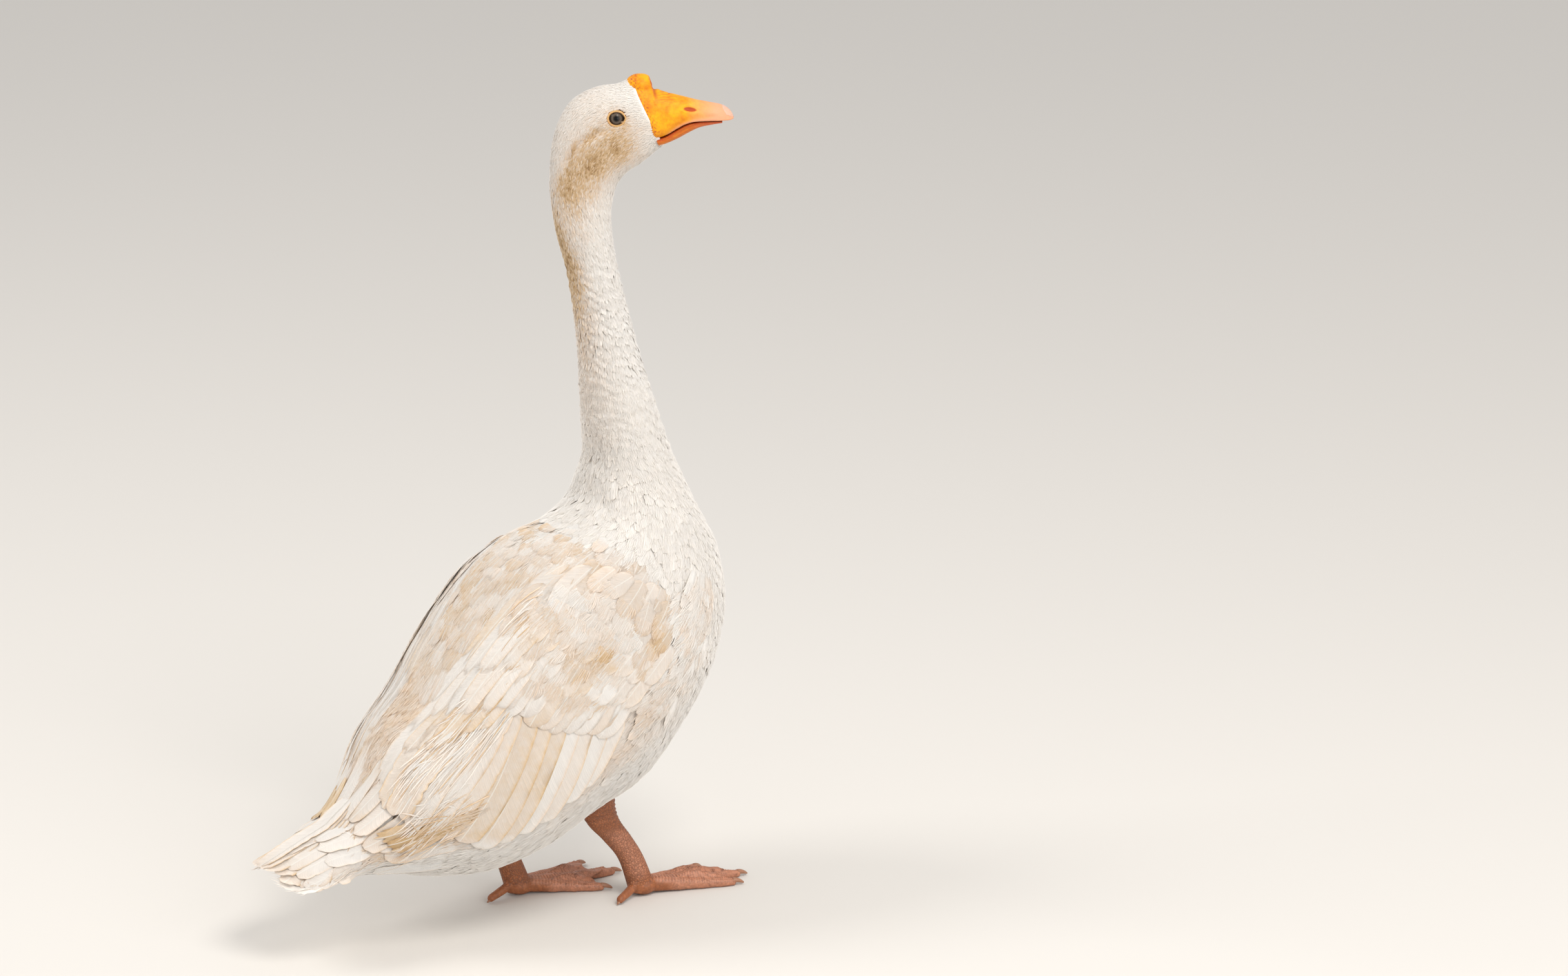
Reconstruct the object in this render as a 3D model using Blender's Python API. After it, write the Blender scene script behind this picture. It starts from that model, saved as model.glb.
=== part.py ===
"""A white knobbed domestic goose, life size, standing alert, neck up, with its head turned to its right.

The bird is drawn on three lines: forward, left and up, in millimetres, from a point on the floor under its
right heel. One envelope runs from the tail to the face; tail, trunk, neck and head are lengths of it, and
each wing is a thin shell let into its side. Bill, knob, eyes, legs, feet and claws are pieces of their own.
The bird faces -Y and stands on Z = 0, with the middle of its box over the origin.
"""

import math

import bmesh
import bpy
import numpy as np
from mathutils import Matrix, Vector

MM = 0.001
GAP = 0.3  # clearance left between neighbouring pieces
HEAD_TURN = math.radians(-33.0)  # the head looks this far round to the bird's right
HEAD_AXIS = -36.0  # forward place of the neck's top, about which the head turns
EYE_HEIGHT = 697.0

# Cross-sections of the bird from tail to neck: the back's point and the belly's point as (forward, up),
# half the width, and the squareness of the upper half (2 is an ellipse).
BODY_SECTIONS = [
    ("tail end", (-340, 76), (-338, 67), 47, 2.0),
    ("tail middle", (-313, 96), (-309, 68), 41, 2.1),
    ("tail root", (-286, 118), (-279, 66), 40, 2.2),
    ("rump", (-262, 147), (-243, 61), 52.5, 2.3),
    ("abdomen", (-239, 182), (-198, 51), 71.5, 2.4),
    ("hip", (-206, 214), (-150, 49), 86, 2.5),
    ("thigh", (-178, 249), (-101, 62), 97.5, 2.55),
    ("loin", (-148, 284), (-56, 84), 103.5, 2.6),
    ("ribs", (-120, 312), (-8, 105), 105.5, 2.6),
    ("low breast", (-90, 330), (32, 145), 102, 2.5),
    ("breast", (-59, 341), (67, 192), 92, 2.4),
    ("high breast", (-39, 357), (86, 247), 81, 2.3),
    ("crop", (-33, 379), (84, 301), 66, 2.15),
    ("neck root", (-30, 399), (63, 349), 51, 2.1),
    ("neck, first sixth", (-33, 425), (43, 396), 40, 2.05),
    ("neck, second", (-36, 458), (27, 444), 33.5, 2.0),
    ("neck, third", (-39, 492), (14, 488), 28, 2.0),
    ("neck, fourth", (-43, 526), (3, 529), 25, 2.0),
    ("neck, fifth", (-50, 563), (-7, 570), 23, 2.0),
    ("neck top", (-59, 595), (-12, 605), 23.5, 2.0),
]
# The tail behind its root: distance back, height of the fan's ridge, thickness, half width, arch.
TAIL_SECTIONS = [
    (299.0, 112.5, 42.0, 41.0, 6.0),
    (314.0, 106.5, 29.0, 42.0, 13.0),
    (329.0, 100.5, 18.0, 40.0, 18.0),
    (343.0, 95.0, 10.0, 33.0, 17.0),
    (354.0, 91.0, 6.0, 23.0, 11.0),
    (360.5, 88.5, 4.0, 12.0, 4.0),
    (363.3, 87.3, 2.0, 4.0, 0.5),
]
# How far round the neck's upper sections have turned, as a share of the head's turn.
NECK_TURNS = {"neck, third": 0.0, "neck, fourth": 0.12, "neck, fifth": 0.38, "neck top": 0.7}

# Cross-sections of the head: nape or crown point and throat or chin point as (ahead of the neck's axis,
# above the eye), and half the width.
HEAD_SECTIONS = [
    ("nape", (-28, -68), (25.5, -73), 24.5),
    ("high nape", (-28, -50), (29, -60.5), 25),
    ("throat", (-27, -33), (34, -53), 25.5),
    ("back of head", (-23.5, -15), (40.5, -46.8), 26),
    ("ear", (-17.5, 0), (46.5, -43.3), 26),
    ("cheek", (-9.2, 12), (52, -39.2), 25.5),
    ("crown", (2.5, 20.2), (56.8, -35.6), 24.5),
    ("eye", (15.5, 24.9), (60.5, -32.3), 22.5),
    ("forehead", (29, 26.7), (64.5, -29), 20),
    ("bill root", (44, 27.2), (70, -25.8), 16.8),
]
HEAD_SQUARENESS = 2.1

# The bill's sections: ridge, biting edge and chin line as (ahead of the neck's axis, above the eye), then
# half the width of the upper half.
BILL_SECTIONS = [
    ("root", (45.2, 27.4), (66.8, -17.2), (69.9, -23.5), 16.4),
    ("base", (57, 25.2), (71.5, -15.5), (75, -21.6), 15.8),
    ("nostril back", (70, 20.2), (79.5, -10.6), (82.5, -18.1), 15),
    ("nostril", (84, 16.7), (89, -5.6), (91.5, -13.2), 14),
    ("middle", (97, 13.3), (98.5, -3.7), (100, -9.2), 13.2),
    ("spoon", (109, 11.0), (109.5, -3.4), (110, -6.8), 12.2),
    ("nail", (118, 9.0), (118, -3.5), (118, -5.4), 10.2),
    ("nail front", (124.6, 4.6), (124.6, -3.4), (124, -4.6), 7),
    ("tip", (128, -0.8), (127.6, -2.8), (126.5, -3.8), 2.6),
]
BILL_SQUARENESS = 2.0, 4.5  # of the ridge side and of the edge side of each half
BILL_WIDEST = 0.3  # share of each half's height, from its biting edge, where it is widest
NAIL_FROM = 5.35  # section where the nail begins
LOWER_BILL_SHARE = 0.86  # the lower half's width against the upper's
KNOB_CENTRE = (48.6, 26.1)
KNOB_RADII = (12.4, 9.2, 9.8)  # along the bill, across it, up

EYE_PLACE = (29.3, 1.9)  # ahead of the neck's axis, above EYE_HEIGHT
EYE_RADIUS = 8.2
EYE_STANDS_OUT = 1.6  # how far the eyeball passes the side of the head

TAIL_ROOT, TRUNK_TOP, NECK_MIDDLE, NECK_TOP = 2.0, 12.6, 16.0, 19.9
PART_CUT = 0.010  # half the width of the cut between two lengths of the envelope, in sections

# The folded wing's outline on the side of the body: section number, then the distance round the body from
# the middle of the back to its upper and its lower edge.
WING_OUTLINE = [
    ("tip", 2.15, 24, 34),
    ("primaries", 3.0, 24, 72),
    ("secondaries", 3.9, 26, 120),
    ("longest secondary", 4.5, 29, 154),
    ("inner secondaries", 5.4, 32, 176),
    ("flank", 6.5, 36, 197),
    ("elbow", 7.6, 40, 193),
    ("forearm", 8.8, 48, 184),
    ("wrist", 9.7, 62, 168),
    ("bend", 10.35, 92, 136),
]
WING_PROUD, WING_SUNK = 3.0, 9.0  # how far the wing stands above the envelope and goes below it
WING_EDGE = 0.35  # share of both left at its rim

# Legs: (forward, left) of each foot's joint, then (backward from the joint, up) along each shank and thigh.
RIGHT_FOOT, LEFT_FOOT = (-2.0, -31.0), (-93.0, 28.0)
SHANK_LINE = [(0.0, 6.0), (11.0, 36.0), (25.0, 57.0), (39.0, 75.0)]
THIGH_LINE = [(40.0, 75.0 + 2 * GAP), (45.0, 95.0), (46.0, 128.0)]
THIGH_LEANS_IN = 3.0
# Radii of level slices through the leg, across and front to back, from the foot up.
SHANK_RADII = [(9.5, 13.0), (8.2, 13.8), (8.6, 14.4), (11.0, 15.4)]
THIGH_RADII = [(11.0, 15.4), (14.0, 17.0), (21.0, 24.0)]

# Toes of each foot: angle from straight ahead, outward positive, and length to the claw's root.
TOES = {
    "right": {"outer": (12.0, 86.0), "middle": (0.0, 97.0), "inner": (-25.0, 76.0)},
    "left": {"outer": (22.0, 86.0), "middle": (0.0, 97.0), "inner": (-24.0, 76.0)},
}
FOOT_TURN = {"right": 6.0, "left": -2.0}  # how far each foot turns out
TOE_HALF_WIDTH, TOE_HEIGHT_ROOT, TOE_HEIGHT_TIP = 6.0, 14.0, 6.5
WEB_THICKNESS, WEB_REACH = 2.0, 0.80
HEEL_RADIUS, HEEL_HEIGHT = 12.0, 16.0
HIND_TOE_TURN = {"right": 30.0, "left": -15.0}  # away from straight back, outward positive
HIND_TOE_ROOT, HIND_TOE_REACH, HIND_TOE_RADIUS = 17.5, 39.0, 4.2
CLAW_LENGTH, CLAW_RADIUS = 11.0, 2.8

COLOURS = {
    "white_feather": ((0.86, 0.83, 0.77), 0.7),
    "orange_bill": ((0.90, 0.42, 0.06), 0.4),
    "pale_nail": ((0.92, 0.68, 0.55), 0.4),
    "eye": ((0.10, 0.13, 0.17), 0.1),
    "orange_leg": ((0.68, 0.34, 0.20), 0.55),
    "horn_claw": ((0.30, 0.22, 0.17), 0.45),
}


# ---------------------------------------------------------------- scene and materials


def clear_scene():
    for item in list(bpy.data.objects):
        bpy.data.objects.remove(item, do_unlink=True)


def make_material(name, colour, roughness):
    material = bpy.data.materials.new(name)
    material.use_nodes = True
    shader = material.node_tree.nodes["Principled BSDF"]
    shader.inputs["Base Color"].default_value = (*colour, 1.0)
    shader.inputs["Roughness"].default_value = roughness
    shader.inputs["Metallic"].default_value = 0.0
    return material


def make_collection(name):
    collection = bpy.data.collections.new(name)
    bpy.context.scene.collection.children.link(collection)
    return collection


# ---------------------------------------------------------------- lines and sections


def smooth_through(values, place):
    """Reads a list of values at fractional places with a Catmull-Rom spline."""
    values = np.asarray(values, float)
    flat = values.ndim == 1
    values = values[:, None] if flat else values
    last = len(values) - 1
    place = np.asarray(place, float)
    whole = np.clip(np.floor(place).astype(int), 0, last - 1)
    part = (place - whole)[..., None]
    before, here = values[np.maximum(whole - 1, 0)], values[whole]
    after, beyond = values[whole + 1], values[np.minimum(whole + 2, last)]
    read = 0.5 * (
        2 * here
        + (after - before) * part
        + (2 * before - 5 * here + 4 * after - beyond) * part**2
        + (3 * here - before - 3 * after + beyond) * part**3
    )
    return read[..., 0] if flat else read


def turned(offset, angle):
    """An offset (forward, left, up) turned to the left about the vertical."""
    forward, left, up = offset
    return np.array(
        (
            forward * math.cos(angle) - left * math.sin(angle),
            forward * math.sin(angle) + left * math.cos(angle),
            up,
        )
    )


def head_point(ahead, above, left=0.0):
    """A point of the head's own upright plane, turned with the head."""
    return np.array((HEAD_AXIS, 0.0, EYE_HEIGHT)) + turned((ahead, left, above), HEAD_TURN)


def envelope_lines():
    """The back line, the belly line, the half widths, the sideways directions and the squareness."""
    backs, bellies, widths, sides, squareness = [], [], [], [], []
    for name, back, belly, width, square in BODY_SECTIONS:
        angle = HEAD_TURN * NECK_TURNS.get(name, 0.0)
        ends = np.array(((back[0], 0.0, back[1]), (belly[0], 0.0, belly[1])))
        middle = ends.mean(axis=0)
        backs.append(middle + turned(ends[0] - middle, angle))
        bellies.append(middle + turned(ends[1] - middle, angle))
        widths.append(width)
        sides.append(turned((0.0, 1.0, 0.0), angle))
        squareness.append(square)
    for _name, back, belly, width in HEAD_SECTIONS:
        backs.append(head_point(*back))
        bellies.append(head_point(*belly))
        widths.append(width)
        sides.append(turned((0.0, 1.0, 0.0), HEAD_TURN))
        squareness.append(HEAD_SQUARENESS)
    return tuple(np.array(line, float) for line in (backs, bellies, widths, sides, squareness))


def squircle(angle, upper_square, lower_square):
    """Points of a unit superellipse: how far towards the back, how far to the left."""
    up, left = np.cos(angle), np.sin(angle)
    power = 2.0 / np.where(up > 0, upper_square, lower_square)
    return np.sign(up) * np.abs(up) ** power, np.sign(left) * np.abs(left) ** power


def envelope(place, angle):
    """Points of the bird's outer surface. place counts sections from the tail; angle 0 is the back, and
    a positive angle goes round by the left."""
    backs, bellies, widths, sides, squareness = ENVELOPE
    back, belly = smooth_through(backs, place), smooth_through(bellies, place)
    width, square = smooth_through(widths, place), smooth_through(squareness, place)
    side = smooth_through(sides, place)
    side /= np.linalg.norm(side, axis=-1, keepdims=True)
    towards_back, to_left = squircle(angle, square, 2.0 + 0.25 * (square - 2.0))
    return (
        (back + belly) / 2
        + (back - belly) / 2 * towards_back[..., None]
        + side * (width * to_left)[..., None]
    )


def angle_at_girth(place, girth, side):
    """The section angle that lies girth millimetres round from the middle of the back."""
    steps = np.linspace(0.0, math.pi, 97)
    shape = (*place.shape, len(steps))
    ring = envelope(np.broadcast_to(place[..., None], shape), np.broadcast_to(steps, shape))
    lengths = np.linalg.norm(np.diff(ring, axis=-2), axis=-1).cumsum(axis=-1)
    lengths = np.concatenate([np.zeros((*place.shape, 1)), lengths], axis=-1)
    found = [
        np.interp(g, length, steps)
        for g, length in zip(girth.ravel(), lengths.reshape(-1, len(steps)), strict=True)
    ]
    return side * np.array(found).reshape(place.shape)


ENVELOPE = envelope_lines()


# ---------------------------------------------------------------- solids


def to_world(points):
    """(forward, left, up) in millimetres to the part's frame in metres: the bird faces -Y."""
    points = np.asarray(points, float)
    return np.stack([points[..., 1], -points[..., 0], points[..., 2]], axis=-1) * MM


def face_outwards(bm):
    bmesh.ops.recalc_face_normals(bm, faces=bm.faces)
    if bm.calc_volume(signed=True) < 0:
        bmesh.ops.reverse_faces(bm, faces=bm.faces)


def object_from(bm, name, material, collection, smooth_angle=40.0):
    mesh = bpy.data.meshes.new(name)
    face_outwards(bm)
    bm.to_mesh(mesh)
    bm.free()
    mesh.materials.append(material)
    mesh.shade_smooth()
    mesh.set_sharp_from_angle(angle=math.radians(smooth_angle))
    made = bpy.data.objects.new(name, mesh)
    collection.objects.link(made)
    return made


def loft(name, rings, material, collection):
    """A closed solid through rings of points, each (ring, point, 3) in millimetres, with flat ends."""
    points = to_world(rings)
    bm = bmesh.new()
    verts = [[bm.verts.new(point) for point in ring] for ring in points]
    count = len(verts[0])
    for near, far in zip(verts, verts[1:], strict=False):
        for i in range(count):
            j = (i + 1) % count
            bm.faces.new((near[i], near[j], far[j], far[i]))
    bm.faces.new(verts[0])
    bm.faces.new(verts[-1])
    bmesh.ops.triangulate(bm, faces=[face for face in bm.faces if len(face.verts) > 4])
    return object_from(bm, name, material, collection)


def shell(name, outer, inner, grow, material, collection):
    """A closed solid between two grids of points, each (row, column, 3), grown along its normals."""
    bm = bmesh.new()
    sheets = [
        [[bm.verts.new(point) for point in row] for row in to_world(grid)] for grid in (outer, inner)
    ]
    rows, columns = len(sheets[0]), len(sheets[0][0])
    for sheet in sheets:
        for i in range(rows - 1):
            for j in range(columns - 1):
                bm.faces.new((sheet[i][j], sheet[i][j + 1], sheet[i + 1][j + 1], sheet[i + 1][j]))
    rim = [(0, j) for j in range(columns)]
    rim += [(i, columns - 1) for i in range(1, rows)]
    rim += [(rows - 1, j) for j in range(columns - 2, -1, -1)]
    rim += [(i, 0) for i in range(rows - 2, 0, -1)]
    for (i, j), (k, m) in zip(rim, rim[1:] + rim[:1], strict=True):
        bm.faces.new((sheets[0][i][j], sheets[0][k][m], sheets[1][k][m], sheets[1][i][j]))
    bmesh.ops.triangulate(bm, faces=bm.faces)
    face_outwards(bm)
    bm.normal_update()
    for vert, shift in [(vert, vert.normal * grow * MM) for vert in bm.verts]:
        vert.co += shift
    return object_from(bm, name, material, collection)


def cut(target, cutter):
    """Takes the cutter's shape out of the target, and hides the cutter."""
    cutter.hide_render = True
    cutter.display_type = "WIRE"
    boolean = target.modifiers.new(f"less_{cutter.name}", "BOOLEAN")
    boolean.operation = "DIFFERENCE"
    boolean.solver = "EXACT"
    boolean.object = cutter


def envelope_length(name, start, end, rings, points, material, collection):
    """One length of the envelope, from section to section, with flat cut ends."""
    places = np.linspace(start + PART_CUT, end - PART_CUT, rings)
    angles = np.linspace(0.0, 2 * math.pi, points, endpoint=False)
    grid = envelope(*np.meshgrid(places, angles, indexing="ij"))
    return loft(name, grid, material, collection)


# ---------------------------------------------------------------- tail, trunk, neck and head


def make_tail(material, collection):
    """The closed fan of tail feathers: it widens, thins and arches to a rounded end."""
    angles = np.linspace(0.0, 2 * math.pi, 20, endpoint=False)
    up, left = squircle(angles, 2.2, 2.05)
    rings = [envelope(np.full(len(angles), TAIL_ROOT - PART_CUT), angles)]
    for back, top, thick, half_width, droop in TAIL_SECTIONS:
        ring = np.empty((len(angles), 3))
        ring[:, 0] = -back + 0.12 * thick * (1 - up) / 2
        ring[:, 1] = half_width * left
        ring[:, 2] = top - thick * (1 - up) / 2 - droop * left**2
        rings.append(ring)
    return loft("tail", rings, material, collection)


def wing_grids(side):
    """Outer and inner grids of a folded wing, lying on the envelope and thinning towards its rim."""
    table = np.array([row[1:] for row in WING_OUTLINE], float)
    along = np.linspace(0.0, 1.0, 17)
    across = np.linspace(0.0, 1.0, 8)
    place, top, bottom = smooth_through(table, along * (len(table) - 1)).T
    place = np.repeat(place[:, None], len(across), axis=1)
    angle = angle_at_girth(place, top[:, None] + (bottom - top)[:, None] * across, side)
    surface = envelope(place, angle)
    step = 0.02
    outwards = np.cross(
        envelope(place + step, angle) - envelope(place - step, angle),
        envelope(place, angle + step) - envelope(place, angle - step),
    )
    outwards /= np.linalg.norm(outwards, axis=-1, keepdims=True)
    middle = (envelope(place, angle * 0.0) + envelope(place, angle * 0.0 + math.pi)) / 2
    outwards *= np.sign(((surface - middle) * outwards).sum(axis=-1, keepdims=True))
    from_rim = np.minimum(np.sin(np.pi * across), np.sin(np.pi * along)[:, None])
    share = (WING_EDGE + (1 - WING_EDGE) * np.sqrt(np.clip(from_rim, 0, 1)))[..., None]
    return surface + outwards * WING_PROUD * share, surface - outwards * WING_SUNK * share


def make_wing(name, side, trunk, material, collection, cutters):
    """A folded wing as a thin shell on the trunk's side, and the recess that it lies in."""
    outer, inner = wing_grids(side)
    shell(name, outer, inner, 0.0, material, collection)
    cut(trunk, shell(f"{name}_recess", outer, inner, 3 * GAP, material, cutters))


# ---------------------------------------------------------------- bill, knob and eyes


def bill_rings(start, end, count, ridge, edge, width_share, points=16):
    """Rings of one half of the bill, between its biting edge and the line that it rises to."""
    lines = [np.array([section[k] for section in BILL_SECTIONS], float) for k in (1, 2, 3)]
    widths = np.array([section[4] for section in BILL_SECTIONS], float) * width_share
    angles = np.linspace(0.0, 2 * math.pi, points, endpoint=False)
    towards_ridge, to_side = squircle(angles, *BILL_SQUARENESS)
    rings = []
    for place in np.linspace(start, end, count):
        far, near = (smooth_through(lines[k], place) for k in (ridge, edge))
        width = float(smooth_through(widths, place))
        widest = near + (far - near) * BILL_WIDEST
        rings.append(
            [
                head_point(*(widest + ((far if u > 0 else near) - widest) * abs(u)), left=width * s)
                for u, s in zip(towards_ridge, to_side, strict=True)
            ]
        )
    return np.array(rings)


def make_bill(materials, collection):
    """Upper half, its nail, and the lower half, which stops short of the biting edge by a fine gap."""
    orange, pale = materials["orange_bill"], materials["pale_nail"]
    last = len(BILL_SECTIONS) - 1.0
    upper = loft("bill_upper", bill_rings(0.0, NAIL_FROM - 0.03, 11, 0, 1, 1.0), orange, collection)
    loft("bill_nail", bill_rings(NAIL_FROM + 0.03, last, 7, 0, 1, 1.0), pale, collection)
    rings = bill_rings(0.0, 6.0, 9, 2, 1, LOWER_BILL_SHARE)
    loft("bill_lower", rings - np.array((0.0, 0.0, 2 * GAP)), orange, collection)
    return upper


def ellipsoid(name, centre, radii, turn, material, collection, segments=16, rings=10):
    """An ellipsoid at a point of the bird, turned about the vertical; radii are forward, left, up."""
    bm = bmesh.new()
    bmesh.ops.create_uvsphere(bm, u_segments=segments, v_segments=rings, radius=1.0)
    for vert in bm.verts:
        left, forward, up = vert.co.x * radii[1], vert.co.y * radii[0], vert.co.z * radii[2]
        vert.co = Vector(to_world(centre + turned((forward, left, up), turn)))
    return object_from(bm, name, material, collection, smooth_angle=180.0)


def make_knob(head, upper, materials, collection, cutters):
    """The fleshy knob on the bill's root, let into the forehead and the bill."""
    centre = head_point(*KNOB_CENTRE)
    ellipsoid("knob", centre, KNOB_RADII, HEAD_TURN, materials["orange_bill"], collection)
    grown = tuple(radius + GAP for radius in KNOB_RADII)
    for target in (head, upper):
        cut(target, ellipsoid(f"{target.name}_seat", centre, grown, HEAD_TURN, materials["eye"], cutters))


def side_of_head(ahead, above):
    """Half the head's width at a point of its upright plane."""
    places = np.linspace(len(BODY_SECTIONS), len(ENVELOPE[0]) - 1.0, 160)
    angles = np.linspace(0.0, math.pi, 121)
    grid = envelope(*np.meshgrid(places, angles, indexing="ij"))
    aimed = head_point(ahead, above)
    sideways = turned((0.0, 1.0, 0.0), HEAD_TURN)
    offset = grid - aimed
    left = offset @ sideways
    miss = np.linalg.norm(offset - left[..., None] * sideways, axis=-1)
    return float(left[np.unravel_index(miss.argmin(), miss.shape)])


def make_eyes(head, material, collection, cutters):
    """Two eyeballs, each in a socket of the head that opens at its side."""
    reach = side_of_head(*EYE_PLACE) + EYE_STANDS_OUT - EYE_RADIUS
    for name, side in (("left", 1.0), ("right", -1.0)):
        centre = head_point(*EYE_PLACE, left=side * reach)
        radii = (EYE_RADIUS,) * 3
        ellipsoid(f"eye_{name}", centre, radii, HEAD_TURN, material, collection)
        grown = (EYE_RADIUS + GAP,) * 3
        cut(head, ellipsoid(f"socket_{name}", centre, grown, HEAD_TURN, material, cutters))


# ---------------------------------------------------------------- legs and feet


def leg_rings(line, radii, grow=0.0, points=14):
    """Level rings along a leg's line, foot end first; grow widens them and carries both ends on."""
    line, radii = np.array(line, float), np.array(radii, float) + grow
    places = np.linspace(0.0, len(line) - 1.0, 3 * len(line) - 2)
    centres, sizes = smooth_through(line, places), smooth_through(radii, places)
    for end, near in ((0, 1), (-1, -2)):
        onwards = centres[end] - centres[near]
        centres[end] += onwards * 2 * grow / abs(onwards[2])
    angles = np.linspace(0.0, 2 * math.pi, points, endpoint=False)
    rings = np.repeat(centres[:, None], points, axis=1)
    rings[..., 0] += sizes[:, 1:] * np.sin(angles)
    rings[..., 1] += sizes[:, :1] * np.cos(angles)
    return rings


def leg_line(foot, offsets, leans_in=0.0):
    """Points of a leg from (backward, up) offsets, its far end leaning in towards the bird's middle."""
    shares = np.linspace(0.0, 1.0, len(offsets))
    inwards = -math.copysign(leans_in, foot[1])
    return [
        (foot[0] - back, foot[1] + inwards * share, up)
        for (back, up), share in zip(offsets, shares, strict=True)
    ]


def make_leg(name, foot, trunk, material, collection, cutters):
    """Shank and thigh of one leg; both stand in sockets of the trunk."""
    for bone, line, radii in (
        ("shank", leg_line(foot, SHANK_LINE), SHANK_RADII),
        ("thigh", leg_line(foot, THIGH_LINE, THIGH_LEANS_IN), THIGH_RADII),
    ):
        loft(f"{bone}_{name}", leg_rings(line, radii), material, collection)
        cut(trunk, loft(f"{bone}_{name}_socket", leg_rings(line, radii, GAP), material, cutters))


def foot_outline(toes, angle):
    """How far the foot reaches from its joint in each direction: heel, toes, and the webs between."""
    angles, lengths = np.array([toes[name] for name in ("inner", "middle", "outer")]).T
    degrees = np.degrees(angle)
    inside = (degrees >= angles[0]) & (degrees <= angles[-1])
    span = np.interp(degrees, angles, range(len(angles)))
    hollow = np.sin(np.pi * (span - np.floor(span))) ** 0.5
    web = np.interp(degrees, angles, lengths) * (1 - (1 - WEB_REACH) * hollow) * 0.93
    reach = np.where(inside, web, HEEL_RADIUS)
    for toe_angle, toe_length in toes.values():
        off = np.abs(np.radians(degrees - toe_angle))
        tip = TOE_HALF_WIDTH * 0.62
        beside = np.sin(off) * toe_length
        round_end = toe_length - tip + np.sqrt(np.clip(tip**2 - beside**2, 0, None))
        reach = np.where((off < 1) & (beside < tip), np.maximum(reach, round_end), reach)
        edge = np.minimum(TOE_HALF_WIDTH / np.clip(np.sin(off), 1e-6, None), toe_length * 0.9)
        reach = np.where((off < 1) & ~inside, np.maximum(reach, edge), reach)
    return reach


def foot_height(toes, ahead, out):
    """The top of the foot over a point of the floor: joint, toe ridges and web."""
    top = np.full_like(ahead, WEB_THICKNESS)
    for toe_angle, toe_length in toes.values():
        way = math.radians(toe_angle)
        along = ahead * math.cos(way) + out * math.sin(way)
        aside = np.abs(-ahead * math.sin(way) + out * math.cos(way))
        share = np.clip(along / toe_length, 0, 1)
        height = TOE_HEIGHT_ROOT + (TOE_HEIGHT_TIP - TOE_HEIGHT_ROOT) * share
        ridge = height * np.sqrt(np.clip(1 - (aside / (TOE_HALF_WIDTH * 1.12)) ** 2, 0, None))
        top = np.maximum(top, np.where(along > -2, ridge, 0))
    joint = np.hypot(ahead, out) / (HEEL_RADIUS * 1.02)
    return np.maximum(top, HEEL_HEIGHT * np.sqrt(np.clip(1 - joint**2, 0, None)))


def foot_angles(toes):
    """Directions round the foot, closest together at the toes."""
    beside_toe = (-6.0, -3.0, -1.4, 0.0, 1.4, 3.0, 6.0)
    found = {toe_angle + step for toe_angle, _length in toes.values() for step in beside_toe}
    found |= set(range(45, 320, 27))
    return np.radians(np.array(sorted(found)))


def foot_frame(name, foot, side):
    """Places a point of the foot, given ahead of, outward from and above its joint on the floor."""
    turn = side * math.radians(FOOT_TURN[name])

    def placed(ahead, out, up):
        return np.array((foot[0], foot[1], 0.0)) + turned((ahead, out * side, up), turn)

    return placed


def make_foot(name, foot, placed, material, collection, cutters):
    """Three webbed toes and the joint as one solid with a flat sole, cut to take the shank."""
    toes = TOES[name]
    angle = foot_angles(toes)
    reach = foot_outline(toes, angle)[:, None]
    shares = np.array([0.14, 0.32, 0.52, 0.7, 0.86, 1.0])
    ahead, out = reach * shares * np.cos(angle)[:, None], reach * shares * np.sin(angle)[:, None]
    height = foot_height(toes, ahead, out)
    height[:, -1] = np.minimum(height[:, -1], 1.2)
    bm = bmesh.new()
    crown, sole = (bm.verts.new(to_world(placed(0.0, 0.0, up))) for up in (HEEL_HEIGHT, 0.0))
    rays = []
    for ray_ahead, ray_out, ray_height in zip(ahead, out, height, strict=True):
        steps = [*zip(ray_ahead, ray_out, ray_height, strict=True), (ray_ahead[-1], ray_out[-1], 0.0)]
        rays.append([bm.verts.new(to_world(placed(*step))) for step in steps])
    for ray, after in zip(rays, rays[1:] + rays[:1], strict=True):
        bm.faces.new((crown, ray[0], after[0]))
        for j in range(len(ray) - 1):
            bm.faces.new((ray[j], ray[j + 1], after[j + 1], after[j]))
        bm.faces.new((ray[-1], sole, after[-1]))
    bmesh.ops.triangulate(bm, faces=[face for face in bm.faces if len(face.verts) > 3])
    made = object_from(bm, f"foot_{name}", material, collection)
    rings = leg_rings(leg_line(foot, SHANK_LINE), SHANK_RADII, GAP)
    cut(made, loft(f"foot_{name}_seat", rings, material, cutters))


def tapered(name, start, end, radius, floor, material, collection):
    """A claw or hind toe: a cone from start to end, in millimetres, flattened where it meets the floor."""
    start, end = Vector(to_world(start)), Vector(to_world(end))
    way = end - start
    place = Matrix.Translation((start + end) / 2) @ way.to_track_quat("Z", "Y").to_matrix().to_4x4()
    bm = bmesh.new()
    bmesh.ops.create_cone(
        bm, cap_ends=True, segments=12, radius1=radius * MM, radius2=0.35 * radius * MM, depth=way.length,
        matrix=place,
    )
    for vert in bm.verts:
        vert.co.z = max(vert.co.z, floor * MM)
    object_from(bm, name, material, collection)


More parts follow.
